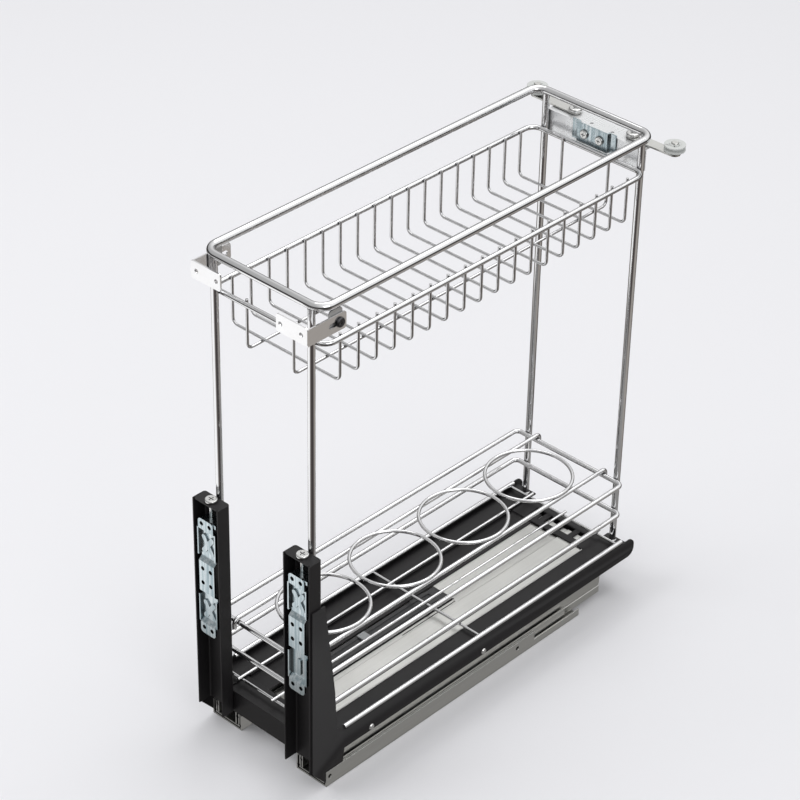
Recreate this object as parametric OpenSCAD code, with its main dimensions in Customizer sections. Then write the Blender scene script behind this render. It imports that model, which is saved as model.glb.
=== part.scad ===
// Pull-out basket for a narrow base cabinet: a wire frame with an upper basket and a lower
// bottle basket, carried on a sheet steel base and two flat ball-bearing slides.
// X is the width, -Y the door side, Z is up. The origin lies under the middle of the whole
// part, level with the bottom edge of the cabinet rails.

/* [Wire frame] */
// Centre distance of the top rail's side runs
rail_w = 144; // [136:1:152]
// Centre distance of the top rail's front and rear runs
frame_d = 442; // [400:1:480]
// Height of the top rail's centre above the cabinet rails' bottom edge
rail_z = 529; // [480:1:600]
// Diameter of the top rail's wire
rail_wire = 8; // [7:0.5:9]
// Corner radius of the top rail, to the wire's centre
rail_corner = 14; // [12:1:18]
// Diameter of the four posts
post_d = 7; // [6:0.5:8]
// Distance of each post from the middle plane
post_x = 60; // [58.5:0.5:62]
// Depth by which resistance-welded wires sink into each other
weld_sink = 0.3; // [0.1:0.05:0.5]

/* [Upper basket] */
// Diameter of the rim's wire
rim_wire = 5; // [4:0.5:6]
// Drop of the rim's centre below the top rail's centre
rim_drop = 39.5; // [30:0.5:60]
// Width of the rim, between the centres of its side runs
rim_w = 141; // [137:1:145]
// Corner radius of the rim
rim_corner = 12; // [9:1:16]
// Number of bent wires across the basket
u_count = 18; // [10:1:18]
// Distance between neighbouring bent wires
u_pitch = 22.75; // [20:0.25:23]
// Diameter of the bent wires
u_wire = 2.8; // [2:0.2:3.2]
// Depth of the basket, from the rim's centre to the centre of the floor wires
basket_deep = 46; // [30:1:80]
// Bend radius of the basket's wires
u_bend = 6; // [5:1:12]
// Distance of the two long floor wires from the middle plane
long_x = 29; // [20:1:40]

/* [Lower basket] */
// Diameter of the two loops and of the bottom side rails
loop_wire = 5; // [4:0.5:6]
// Height of the upper loop above the cabinet rails' bottom edge
loop_top_z = 128; // [115:1:150]
// Height of the lower loop above the cabinet rails' bottom edge
loop_low_z = 91; // [78:1:100]
// Width of both loops, between the centres of their side runs
loop_w = 142.5; // [140:0.5:146]
// Corner radius of both loops
loop_corner = 6; // [5:1:10]
// Diameter of the floor wires
floor_wire = 3; // [2.4:0.2:3.4]
// Distance of the outer floor wires from the middle plane
floor_x = 46; // [40:1:50]

/* [Bottle insert] */
// Centre diameter of the bottle rings
ring_d = 90; // [80:1:92]
// Diameter of the rings' wire
ring_wire = 3.6; // [3:0.2:4.4]
// Distance between neighbouring rings
ring_pitch = 99; // [96:0.5:102]
// Number of rings
ring_count = 4; // [2:1:4]
// Diameter of the insert's side wires
insert_wire = 4.5; // [3.5:0.25:5]

/* [Base] */
// Thickness of the base's sheet steel
sheet = 1.5; // [1.2:0.1:1.8]
// Overall width of the base
base_w = 156; // [154:1:158]
// Height of the underside of the base
base_z = 34; // [32:0.5:36]
// Height of the flanges that the posts stand on
flange_z = 51; // [48:1:56]
// Height of the side panels' top edge
panel_z = 55.3; // [54.5:0.1:60]
// Width of the flanges, from the panels' outer face inward
flange_w = 28; // [26:1:30]
// How far the side panels reach behind the rear posts' centres
panel_tail = 14; // [10:1:18]

/* [Door channels] */
// Width of each channel
chan_w = 34; // [32:1:36]
// Depth of each channel
chan_deep = 16; // [15:0.5:18]
// Height of the channels' lower end
chan_z0 = 26; // [23:1:28]
// Height of the channels' upper end
chan_z1 = 271; // [245:1:290]
// Width of the door brackets
brk_w = 24; // [22:0.5:25]
// Width of the brackets' end tabs
tab_w = 20; // [18:0.5:21]
// Height of the door brackets
brk_h = 134; // [130:0.5:140]
// Thickness of the door brackets
brk_t = 2; // [1.5:0.1:2.2]
// Diameter of the height adjusting screws
adj_d = 4; // [3.5:0.1:5]
// Vertical adjustment of the door brackets, each way
adj_travel = 8; // [4:1:10]

/* [Top door hooks] */
// Height of the hooks' front plates
hook_h = 17.5; // [15:0.5:22]
// Drop of the hooks' middle below the top rail's centre
hook_drop = 16; // [15:0.5:20]
// Distance between the two door screw holes in a hook
hook_hole_gap = 25; // [20:1:28]
// Length of the slot in a hook's wing
slot_len = 17; // [16:0.5:18]
// Radius of the door screw holes
door_hole_r = 2.3; // [2:0.1:2.6]

/* [Slides] */
// Length of the cabinet rails
cab_len = 370; // [340:5:400]
// Length of the cabinet rails' tall outer walls, which are screwed to the cabinet
strip_len = 300; // [260:5:320]
// Height of the cabinet rails' walls
strip_h = 18; // [16:1:20]
// Width of each slide
slide_w = 40; // [38:0.5:42]
// Length of the middle rails
mid_len = 350; // [320:5:370]
// Length of the drawer rails
draw_len = 410; // [380:5:430]
// Diameter of the bearing balls
ball_d = 3.2; // [3:0.1:3.4]
// Number of balls in each row
ball_count = 8; // [4:1:10]
// Distance between neighbouring balls
ball_pitch = 16; // [12:1:18]

/* [Anti-tip guide] */
// Distance of the arm pivots from the middle plane
pivot_x = 36; // [32:1:40]
// Distance from an arm's pivot to its roller's axle
arm_len = 50; // [46:0.5:56]
// Outer radius of the rollers
roller_r = 10.5; // [9:0.5:12]
// Height of the rollers
roller_h = 6; // [5:0.5:8]
// Distance of the rollers' axles behind the rear run of the top rail
roller_back = 17; // [15:0.5:20]
// Distance of the arm pivots behind the rear run of the top rail
pivot_back = 16; // [14:0.5:19]
// Drop of the guide plate's top below the top rail's centre
plate_drop = 21; // [18:0.5:24]

/* [Soft close unit] */
// Length of the housing
damper_len = 188; // [160:1:196]
// Width of the housing
damper_w = 26; // [20:1:27]
// Height of the housing
damper_h = 16.5; // [14:0.5:18]

/* [Clearances] */
// Gap between pieces that slide past or rest on each other
slide_gap = 0.3; // [0.2:0.05:0.5]
// Radial clearance of pins, screws and balls in their holes and grooves
run_gap = 0.06; // [0.03:0.01:0.09]

/* [Hidden] */

$fn = 48;
eps = 0.01; // how far a cut reaches past the face it opens

// Depth of the whole part, and where the top rail's front and rear runs lie in it
door_reach = 21.5; // from the front run to the door's back
front_reach = door_reach;
rear_reach = roller_back + roller_r;
front_y = front_reach - (front_reach + frame_d + rear_reach) / 2;
rear_y = front_y + frame_d;
mid_y = (front_y + rear_y) / 2;

// Wire frame and baskets
rim_z = rail_z - rim_drop;
wire_peek = 0.5; // how far the basket's wire ends stand above the rim
u_z = rim_z - basket_deep;
long_z = u_z - u_wire + weld_sink;
bent_leg_x = rim_w / 2 - (rim_wire + u_wire) / 2 + weld_sink;

// Bottle insert, which rests on the upper loop
insert_z = loop_top_z + (loop_wire + insert_wire) / 2 + slide_gap;
ring_z = insert_z + (insert_wire + ring_wire) / 2 - weld_sink;
hook_bend = 5;
hook_drop_down = 10;
ring_shift = 3; // the rings sit this far behind the middle of the frame

// Base
wall_x = base_w / 2 - sheet; // inner face of the side panels' walls
flange_x = base_w / 2 - flange_w; // inner edge of the flanges
tail_y = rear_y + panel_tail;
under_z = flange_z - sheet; // underside of the flanges
plate_z = under_z - sheet; // underside of the cross plates
pan_t = 1.2; // thickness of the floor pan and the floor sheet
pan_z = plate_z - pan_t;
split_x = -22; // where the floor pan and the floor sheet meet
low_sheet_z = pan_z - pan_t; // the sheet's sunken part runs under the pan
sheet_front = front_y + 12;
sheet_rear = front_y + 425;
damper_start = 66; // from the front run to the soft close unit
damper_x = -7; // middle of the soft close unit
damper_y = front_y + damper_start;
damper_top = under_z - 2;
damper_z = damper_top - damper_h;

// Floor of the lower basket, its side rails welded along the side panels' top edges
rail_rise = 1.2; // the side rails' centres lie this far above those edges
side_rail_x = wall_x - sqrt(pow(loop_wire / 2, 2) - pow(rail_rise, 2)) + weld_sink;
side_rail_z = panel_z + rail_rise;
side_rail_start = 28; // from the front run of the top rail
side_rail_end = 4; // short of the rear run of the top rail
cross_z = flange_z + 4;
floor_z = cross_z + floor_wire - weld_sink;

// Door channels and brackets
chan_x = wall_x - chan_w / 2;
chan_back = front_y - post_d / 2;
chan_front = chan_back - chan_deep;
door_y = front_y - door_reach; // the door's back, which the hooks and brackets are screwed to
brk_shift = 2; // both brackets sit a little to the right in their channels
brk_y = door_y;
brk_x = chan_x + brk_shift;
brk_top = chan_z1 - 16.5;
adj_y = chan_back - chan_deep / 2;
tab_h = 12; // height of the bracket's end tabs
mid_top = 49.5; // from the bracket's top to its middle flat
mid_h = 35; // height of the middle flat
brk_deep = 4; // depth of the recesses between the flats

// Top door hooks
hook_z = rail_z - hook_drop;
tab_x = rail_w / 2 + 1.3; // inner face of the fixed tabs
wing_x = tab_x + sheet + slide_gap;
slot_y = front_y + 13; // middle of a hook's slot when the hook is right forward
screw_off = 4.5; // from there to the clamping screw
screw_y = slot_y + screw_off;
hook_back = [2 * screw_off, 0]; // how far back the left and the right hook are clamped
wing_end = slot_y + slot_len / 2 + 4;
slot_z = hook_z - 1;

// Slides, measured from each slide's middle plane
slide_x = base_w / 2 - slide_w / 2;
slide_front = front_y + 0.5;
web_z = 0; // underside of the cabinet rail's web, on the cabinet's floor
wall_in = slide_w / 2 - sheet; // inner face of the cabinet rail's walls
cab_top = strip_h;
ball_r = ball_d / 2;
outer_ball_u = wall_in - 0.9;
outer_ball_z = web_z + 5.4;
mid_out = wall_in - 1.8;
mid_wall = 1.8;
mid_web_z = web_z + sheet + 1.1;
mid_web = 1.2;
mid_top_z = cab_top - 0.2;
inner_ball_u = mid_out - mid_wall - 0.9;
inner_ball_z = mid_top_z - 3.6;
draw_out = mid_out - 2 * mid_wall;
draw_z = mid_web_z + mid_web + 1.2;
cage_t = 0.5;
cage_rest = 180; // from the front run to the middle of the ball cages when closed
cage_y = front_y + cage_rest;
cage_len = ball_count * ball_pitch;

// Anti-tip guide
guide_z = rail_z - plate_drop; // top of the guide plate
arm_t = 2;
arm_w = 12;
arm_z = guide_z + slide_gap;
arm_angle = asin((pivot_back - roller_back) / arm_len);
spacer_h = 2.6; // collar between an arm and its roller
pin_r = 3; // pivot screws' shanks
axle_r = 2.5;
pivot_y = rear_y + pivot_back;
roller_x = pivot_x + arm_len * cos(arm_angle);
roller_y = rear_y + roller_back;
roller_z = arm_z + arm_t + spacer_h + slide_gap;
upright_y = rear_y + post_d / 2; // front face of the guide plate's upright

// ---- helpers -------------------------------------------------------------------------------

module rod_x(len, d) rotate([0, 90, 0]) cylinder(h = len, d = d, center = true);

module rod_y(len, d) rotate([90, 0, 0]) cylinder(h = len, d = d, center = true);

// A quarter bend in the XY plane, from angle a to a + 90
module quarter(r, d, a) rotate([0, 0, a]) rotate_extrude(angle = 90) translate([r, 0]) circle(d = d);

// A rounded rectangle of round wire, w by d between wire centres
module wire_loop(w, d, r, wire) {
    for (s = [-1, 1]) {
        translate([0, s * d / 2, 0]) rod_x(w - 2 * r, wire);
        translate([s * w / 2, 0, 0]) rod_y(d - 2 * r, wire);
    }
    corners = [[1, 1, 0], [-1, 1, 90], [-1, -1, 180], [1, -1, 270]];
    for (c = corners)
        translate([c[0] * (w / 2 - r), c[1] * (d / 2 - r), 0]) quarter(r, wire, c[2]);
}

// A wire bent up at both ends, in the XZ plane, its run's centre at the origin
module bent_wire(run, leg, bend, wire) {
    rod_x(run - 2 * bend, wire);
    for (s = [-1, 1])
        translate([s * run / 2, 0, bend]) cylinder(h = leg - bend, d = wire);
    for (c = [[1, 270], [-1, 180]])
        translate([c[0] * (run / 2 - bend), 0, bend]) rotate([90, 0, 0]) quarter(bend, wire, c[1]);
}

// A box given by its lowest and highest corners
module block(lo, hi) translate(lo) cube(hi - lo);

// A plate in the YZ plane, its outline's x being Y, thickness t along +X
module plate_yz(t) rotate([90, 0, 90]) linear_extrude(t) children();

// A plate in the XZ plane, its outline's y being Z, from y along +Y by t
module plate_xz(y, t) translate([0, y + t, 0]) rotate([90, 0, 0]) linear_extrude(t) children();

// A rounded rectangle, its lower left corner at p
module round_rect(p, w, h, r) translate(p) {
    translate([r, 0]) square([w - 2 * r, h]);
    translate([0, r]) square([w, h - 2 * r]);
    for (x = [r, w - r], y = [r, h - r]) translate([x, y]) circle(r);
}

// A slot or capsule of length l and width w, centred, along X
module slot_2d(l, w) {
    square([l - w, w], center = true);
    for (s = [-1, 1]) translate([s * (l - w) / 2, 0]) circle(w / 2);
}

// Mirrors its children to the given side, -1 for the left
module side(s) if (s < 0) mirror([1, 0, 0]) children(); else children();

// ---- wire frame ----------------------------------------------------------------------------

module rail_shape() translate([0, mid_y, rail_z]) wire_loop(rail_w, frame_d, rail_corner, rail_wire);

module top_rail() color("silver") rail_shape();

// A post from the base's flange up to the saddle cut under the top rail
module post(x, y) color("silver") difference() {
    translate([x, y, flange_z]) cylinder(h = rail_z - rail_wire / 4 - flange_z, d = post_d);
    rail_shape();
}

module post_front_left() post(-post_x, front_y);
module post_front_right() post(post_x, front_y);
module post_rear_left() post(-post_x, rear_y);
module post_rear_right() post(post_x, rear_y);

// Depth of a loop that runs along the inner sides of the posts
function inner_run(wire) = frame_d - post_d - wire + 2 * weld_sink;

module upper_rim() color("silver")
    translate([0, mid_y, rim_z]) wire_loop(rim_w, inner_run(rim_wire), rim_corner, rim_wire);

module upper_bent_wires() color("gainsboro")
    for (i = [0:u_count - 1])
        translate([0, mid_y + (i - (u_count - 1) / 2) * u_pitch, u_z])
            bent_wire(2 * bent_leg_x, basket_deep + rim_wire / 2 + wire_peek, u_bend, u_wire);

module upper_long_wires() color("gainsboro") {
    run = inner_run(rim_wire) - rim_wire - u_wire + 2 * weld_sink;
    for (x = [-long_x, long_x])
        translate([x, mid_y, long_z]) rotate([0, 0, 90])
            bent_wire(run, rim_z - long_z + rim_wire / 2 + wire_peek, u_bend, u_wire);
}

module lower_loop(z) color("silver")
    translate([0, mid_y, z]) wire_loop(loop_w, inner_run(loop_wire), loop_corner, loop_wire);

module lower_loop_top() lower_loop(loop_top_z);
module lower_loop_bottom() lower_loop(loop_low_z);

module floor_side_rails() color("silver") {
    len = frame_d - side_rail_start - side_rail_end;
    for (s = [-1, 1])
        translate([s * side_rail_x, front_y + side_rail_start + len / 2, side_rail_z]) rod_y(len, loop_wire);
}

module floor_long_wires() color("silver")
    for (x = [-floor_x, 0, floor_x])
        translate([x, mid_y, floor_z]) rod_y(inner_run(floor_wire), floor_wire);

module floor_cross_wires() color("silver")
    for (p = [[front_y + 10, wall_x + weld_sink], [mid_y, side_rail_x], [rear_y - 9, side_rail_x]])
        translate([0, p[0], cross_z]) rod_x(2 * p[1], floor_wire);

// ---- bottle insert -------------------------------------------------------------------------

module insert_side_wires() color("silver") {
    run = inner_run(loop_wire) + loop_wire + insert_wire + 2 * slide_gap;
    for (s = [-1, 1])
        translate([s * ring_d / 2, mid_y, insert_z]) rotate([180, 0, 90])
            bent_wire(run, hook_drop_down, hook_bend, insert_wire);
}

module insert_rings() color("silver")
    for (i = [0:ring_count - 1])
        translate([0, mid_y + ring_shift + (i - (ring_count - 1) / 2) * ring_pitch, ring_z])
            rotate_extrude() translate([ring_d / 2, 0]) circle(d = ring_wire);

// ---- base ----------------------------------------------------------------------------------

upright_front = chan_front + 2; // front edge of the side panels' uprights
upright_top = chan_z1 - 53;
knee_z = panel_z + 57; // where the upright's rear edge turns in
leg_end = front_y + 23; // rear end of the leg that reaches down over the cabinet rail's front end

// Outline of a side panel's wall, in Y and Z, with a rounded tail
module panel_outline() {
    r = 9;
    polygon([
        [upright_front, chan_z0], [slide_front - 0.8, strip_h / 3], [slide_front - 0.8, strip_h + 0.8],
        [leg_end, strip_h + 0.8], [leg_end + 2, base_z], [tail_y - r, base_z], [tail_y - r, panel_z],
        [front_y + 26, panel_z], [front_y + 15, panel_z + 8], [front_y + 12, knee_z],
        [front_y - 1, upright_top], [upright_front, upright_top],
    ]);
    round_rect([tail_y - 3 * r, base_z], 3 * r, panel_z - base_z, r);
}

module side_panel(s) color("#2c2c2e") side(s) {
    translate([wall_x, 0, 0]) plate_yz(sheet) panel_outline();
    block([flange_x, chan_back, under_z], [wall_x + sheet / 2, tail_y - 9, flange_z]);
    block([slide_x - slide_w / 2 + 6, front_y + 2, base_z], [wall_x + sheet / 2, tail_y - 9, base_z + sheet]);
}

module side_panel_left() side_panel(-1);
module side_panel_right() side_panel(1);

module front_cross_plate() color("#2c2c2e") {
    block([-flange_x, chan_back, chan_z0 - 2], [flange_x, chan_back + sheet, under_z]);
    block([-flange_x - under_lap, chan_back, plate_z], [flange_x + under_lap, front_y + 22, under_z]);
}

rear_plate_start = 408; // from the front run
rear_plate_end = 438;
window = 14; // the rear plate's square windows, one every window_step
window_step = 20;
under_lap = 10; // the cross plates reach this far under the flanges

module rear_cross_plate() color("#2c2c2e") {
    end_y = front_y + rear_plate_end;
    win_y = front_y + (rear_plate_start + rear_plate_end - window) / 2;
    difference() {
        block([-flange_x - under_lap, front_y + rear_plate_start, plate_z],
              [flange_x + under_lap, end_y, under_z]);
        for (i = [-2:1])
            block([i * window_step + window / 2, win_y, plate_z - eps],
                  [i * window_step + 1.5 * window, win_y + window, under_z + eps]);
    }
    block([-flange_x + 2, end_y - sheet, base_z + 1], [flange_x - 2, end_y, under_z]);
}

lip_start = front_y + 24; // the lips stop short of the cross plates
lip_end = front_y + 406;
lip_x = flange_x - 0.2;
lip_top = flange_z - 0.1;

module floor_pan() color("#2c2c2e") {
    block([-lip_x, sheet_front, pan_z], [split_x, sheet_rear, plate_z]);
    block([-lip_x, lip_start, pan_z], [-lip_x + pan_t, lip_end, lip_top]);
}

step_x = 14; // where the floor sheet steps down under the pan
cut_x = 8; // right edge of the cut-out over the soft close unit
slit_x = 11; // middle of the slit beside it
slit_w = 1.2;
slit_len = 80;

module floor_sheet() color("lightgray") {
    cut_end = damper_y + damper_len + 1;
    difference() {
        translate([0, sheet_rear, 0]) rotate([90, 0, 0]) linear_extrude(sheet_rear - sheet_front)
            polygon([
                [split_x - 4, low_sheet_z], [step_x, low_sheet_z], [step_x + pan_t, pan_z],
                [lip_x, pan_z], [lip_x, plate_z], [step_x + pan_t / 2, plate_z],
                [step_x - pan_t / 2, pan_z], [split_x - 4, pan_z],
            ]);
        block([split_x - 5, sheet_front - 1, low_sheet_z - 1], [cut_x, cut_end, plate_z + 1]);
        block([slit_x - slit_w / 2, cut_end - slit_len, low_sheet_z - 1],
              [slit_x + slit_w / 2, cut_end - 2, plate_z + 1]);
    }
    block([lip_x - pan_t, lip_start, pan_z], [lip_x, lip_end, lip_top]);
}

rivet_r = 3.4;

module panel_rivets() color("gray")
    for (s = [-1, 1], y = [62, 222])
        side(s) translate([base_w / 2, front_y + y, base_z + rivet_r + 0.3]) rotate([0, 90, 0])
            cylinder(h = 1.2, r1 = rivet_r, r2 = rivet_r - 1);

// ---- soft close unit -----------------------------------------------------------------------

catch_w = 6;
catch_y = damper_y + 18;
catch_len = 20;
catch_travel = 40;
catch_z = damper_z - 3.8;
pin_d = 5;

module damper_housing() color("#1e1e20") {
    x0 = damper_x - damper_w / 2;
    x1 = damper_x + damper_w / 2;
    difference() {
        block([x0, damper_y, damper_z], [x1, damper_y + damper_len, damper_top]);
        block([damper_x - catch_w / 2 - slide_gap, catch_y - catch_len / 2 - 2, damper_z - 1],
              [damper_x + catch_w / 2 + slide_gap, catch_y + catch_len / 2 + catch_travel + 2, damper_z + 9]);
        for (x = [x0 + 4, x1 - 8])
            block([x, damper_y + 12, damper_top - 1], [x + 4, damper_y + damper_len - 12, damper_top + 1]);
    }
    for (y = [damper_y + 14, damper_y + damper_len - 34]) {
        block([split_x - 4, y, pan_z - 2], [x0 + 1, y + 20, pan_z]);
        block([x1 - 1, y, low_sheet_z - 2], [13, y + 20, low_sheet_z]);
    }
}

module damper_cap() color("dimgray")
    block([damper_x - 12, damper_y + 75, damper_top], [damper_x - 2, damper_y + 85, damper_top + 1.6]);

module damper_catch() color("#d8d8d4") difference() {
    block([damper_x - catch_w / 2, catch_y - catch_len / 2, catch_z],
          [damper_x + catch_w / 2, catch_y + catch_len / 2, damper_z + 8.5]);
    translate([damper_x, catch_y, catch_z - 1]) rotate([0, 90, 0])
        cylinder(h = catch_w + 1, d = pin_d + 2, center = true);
}

module catch_bridge() color("silver") {
    half = slide_x - slide_w / 2 + weld_sink;
    block([-half, catch_y - 14, web_z], [half, catch_y + 14, web_z + sheet]);
    translate([damper_x, catch_y, web_z + sheet / 2])
        cylinder(h = catch_z - slide_gap - web_z - sheet / 2, d = pin_d);
}

// ---- slides --------------------------------------------------------------------------------

module slide_pair(s, y, len) side(s)
    translate([slide_x, y + len, 0]) rotate([90, 0, 0]) linear_extrude(len) children();

// Two rectangles, mirrored about x = 0, the right one's lower left corner at [x0, z0]
module square_pair(x0, z0, w, h)
    for (x = [x0, -x0 - w]) translate([x, z0]) square([w, h]);

// The round grooves that both rows of balls run in
module grooves(u, z)
    for (m = [-1, 1]) translate([m * u, z]) circle(ball_r + run_gap);

module cabinet_profile() difference() {
    union() {
        translate([-slide_w / 2, web_z]) square([slide_w, sheet]);
        square_pair(wall_in, web_z, sheet, cab_top - web_z);
        square_pair(wall_in - 1.2, cab_top - 0.8, sheet, 0.8);
    }
    grooves(outer_ball_u, outer_ball_z);
}

module cabinet_rail(s) color("silver") difference() {
    union() {
        slide_pair(s, slide_front, cab_len) cabinet_profile();
        side(s) block([slide_x - 6, slide_front + cab_len - sheet, web_z],
                      [slide_x + 6, slide_front + cab_len, web_z + 6]);
    }
    side(s) for (y = [5.1, strip_len - 26])
        translate([wall_x - 1, slide_front + y, cab_top - 7]) rotate([0, 90, 0])
            cylinder(h = sheet + 2, r = door_hole_r);
    // behind its screws the outer wall is only as high as the balls need
    side(s) block([slide_x + wall_in - 1.3, slide_front + strip_len, outer_ball_z + ball_r + 1],
                  [base_w / 2 + 1, slide_front + cab_len + 1, cab_top + 1]);
}

module cabinet_rail_left() cabinet_rail(-1);
module cabinet_rail_right() cabinet_rail(1);

module middle_rail(s) color("silver") slide_pair(s, slide_front + 0.5, mid_len) difference() {
    union() {
        translate([-mid_out, mid_web_z]) square([2 * mid_out, mid_web]);
        square_pair(mid_out - mid_wall, mid_web_z, mid_wall, mid_top_z - mid_web_z);
    }
    grooves(outer_ball_u, outer_ball_z);
    grooves(inner_ball_u, inner_ball_z);
}

module middle_rail_left() middle_rail(-1);
module middle_rail_right() middle_rail(1);

module drawer_rail(s) color("silver") slide_pair(s, slide_front, draw_len) difference() {
    union() {
        translate([-draw_out, base_z - 1.2]) square([2 * draw_out, 1.2]);
        square_pair(draw_out - sheet, draw_z, sheet, base_z - draw_z);
    }
    grooves(inner_ball_u, inner_ball_z);
}

module drawer_rail_left() drawer_rail(-1);
module drawer_rail_right() drawer_rail(1);

// Puts its children at each ball of both rows, u from the slide's middle plane
module at_balls(s, u, z) side(s)
    for (i = [0:ball_count - 1], m = [-1, 1])
        translate([slide_x + m * u, cage_y + (i - (ball_count - 1) / 2) * ball_pitch, z]) children();

module ball_rows(s, u, z) color("white") at_balls(s, u, z) sphere(ball_r);

// A U-shaped strip with a pocket for each ball, its web's underside at z0
module cage(s, u, z, z0) color("darkgray") difference() {
    slide_pair(s, cage_y - cage_len / 2, cage_len) {
        translate([-u - cage_t / 2, z0]) square([2 * u + cage_t, cage_t]);
        square_pair(u - cage_t / 2, z0, cage_t, z - z0 + ball_r + 0.6);
    }
    at_balls(s, u, z) rod_x(4 * cage_t, ball_d + 2 * run_gap);
}

outer_cage_z = web_z + sheet + slide_gap;
inner_cage_z = mid_web_z + mid_web + slide_gap;

module outer_cage_left() cage(-1, outer_ball_u, outer_ball_z, outer_cage_z);
module outer_cage_right() cage(1, outer_ball_u, outer_ball_z, outer_cage_z);
module inner_cage_left() cage(-1, inner_ball_u, inner_ball_z, inner_cage_z);
module inner_cage_right() cage(1, inner_ball_u, inner_ball_z, inner_cage_z);
module outer_balls_left() ball_rows(-1, outer_ball_u, outer_ball_z);
module outer_balls_right() ball_rows(1, outer_ball_u, outer_ball_z);
module inner_balls_left() ball_rows(-1, inner_ball_u, inner_ball_z);
module inner_balls_right() ball_rows(1, inner_ball_u, inner_ball_z);

// ---- door channels and brackets ------------------------------------------------------------

// Plan of a channel's outside, set in by o: square in front, rounded at the back
module channel_plan(o, r) difference() {
    w = chan_w - 2 * o;
    round_rect([chan_x - w / 2, chan_front - 2 * r], w, chan_deep - o + 2 * r, r);
    translate([chan_x - chan_w, chan_front - 3 * r]) square([2 * chan_w, 3 * r + (o > 0 ? -eps : 0)]);
}

module channel(s) color("#2c2c2e") side(s) translate([0, 0, chan_z0]) linear_extrude(chan_z1 - chan_z0)
    difference() {
        channel_plan(0, 3);
        channel_plan(sheet, 3 - sheet);
    }

module channel_left() channel(-1);
module channel_right() channel(1);

module channel_caps() color("#2c2c2e")
    for (s = [-1, 1]) side(s) translate([0, 0, chan_z1 - sheet]) linear_extrude(sheet)
        difference() {
            round_rect([chan_x - chan_w / 2 + sheet, chan_front + 1], chan_w - 2 * sheet,
                       chan_deep - sheet - 1, 3 - sheet);
            translate([chan_x, adj_y]) circle(adj_d / 2 + run_gap);
        }

cap_z = chan_z1; // top of the channels' caps
lug_top = brk_top - 0.5; // the bracket's threaded lug
lug_h = 4;

// A pan head with its flat side at z = 0, its cross recess cut in
module pan_head(r, h) difference() {
    rotate_extrude() {
        square([r - h / 2, h]);
        square([r, h / 2]);
        intersection() {
            translate([r - h / 2, h / 2]) circle(h / 2);
            square([r, h]);
        }
    }
    for (a = [0, 90]) rotate([0, 0, a])
        translate([-r / 2, -r / 12, h * 0.55]) cube([r, r / 6, h]);
}

module adjust_screw(s) color("silver") side(s) translate([chan_x, adj_y, 0]) {
    translate([0, 0, cap_z + slide_gap]) pan_head(6.2, 2.6);
    translate([0, 0, lug_top - lug_h - adj_travel - 6])
        cylinder(h = cap_z + slide_gap + 1 - (lug_top - lug_h - adj_travel - 6), d = adj_d);
    translate([0, 0, cap_z - sheet - slide_gap - 1.2]) cylinder(h = 1.2, r = adj_d / 2 + 1.5);
}

module adjust_screw_left() adjust_screw(-1);
module adjust_screw_right() adjust_screw(1);

// Front line of a door bracket from its top down: end tab, recess, middle flat, recess, end tab
bracket_line = [
    [0, 0], [0, -tab_h], [brk_deep, -tab_h - brk_deep],
    [brk_deep, brk_deep - mid_top], [0, -mid_top], [0, -mid_top - mid_h],
    [brk_deep, -mid_top - mid_h - brk_deep], [brk_deep, tab_h + brk_deep - brk_h],
    [0, tab_h - brk_h], [0, -brk_h],
];
hole_rows = [-5.5, -mid_top - 8, -mid_top - 24.5, 7 - brk_h];
hole_gap = 10.5;
wall_set = 0.6; // the recesses' side walls stand this far behind the tabs
recess_h = 31.5; // height of the recesses' side walls
rib_w = 5; // width of the pressed ribs
rib_h = 1.5; // and how far they stand out
lug_reach = 13; // from the bracket's middle to the end of its threaded lug

// A pressed rib across a recess, z from the bracket's top
module rib(z, len, angle) plate_xz(brk_deep - rib_h, rib_h + 0.5)
    translate([0, z]) rotate(angle) slot_2d(len, rib_w);

module door_bracket(x0, crossed) color("#d5dbe0") translate([x0 + brk_shift, brk_y, brk_top]) difference() {
    union() {
        intersection() {
            translate([-tab_w / 2, 0, 0]) plate_yz(tab_w) polygon(concat(
                bracket_line,
                [for (i = [len(bracket_line) - 1:-1:0]) bracket_line[i] + [brk_t, 0]]
            ));
            plate_xz(-1, brk_deep + brk_t + 2) round_rect([-tab_w / 2, -brk_h], tab_w, brk_h, 4);
        }
        for (z = [-tab_h - recess_h, tab_h - brk_h]) difference() {
            block([-brk_w / 2, wall_set, z], [brk_w / 2, brk_deep + brk_t, z + recess_h]);
            block([-brk_w / 2 + sheet, -1, z - 1], [brk_w / 2 - sheet, brk_deep, z + recess_h + 1]);
        }
        for (a = [55, -55]) rib(-tab_h - recess_h / 2 - 2, 24, a);
        if (crossed) for (a = [55, -55]) rib(tab_h + recess_h / 2 - brk_h, 24, a);
        else rib(tab_h + recess_h / 2 - brk_h, 19, 90);
        block([-brk_shift - 5.5, brk_t / 2, lug_top - lug_h - brk_top],
              [lug_reach, adj_y - brk_y + 3.5, lug_top - brk_top]);
    }
    for (z = hole_rows, x = [-hole_gap / 2, hole_gap / 2])
        translate([x, -1, z]) rotate([-90, 0, 0]) cylinder(h = brk_t + 2, r = door_hole_r);
    translate([-brk_shift, adj_y - brk_y, lug_top - brk_top - lug_h - 1])
        cylinder(h = lug_h + 2, r = adj_d / 2 + run_gap);
}

module door_bracket_left() door_bracket(-chan_x, true);
module door_bracket_right() door_bracket(chan_x, false);

// ---- top door hooks ------------------------------------------------------------------------

hook_screw_r = 2.25;
plate_t = sheet + 0.2; // the hooks are bent from slightly thicker strip
plate_x0 = 39; // inner edge of the hooks' front plates
door_hole_x = (plate_x0 + wing_x + sheet) / 2 - 1;
wing_h = 17;
tab_len = 16; // depth of the fixed tabs

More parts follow.
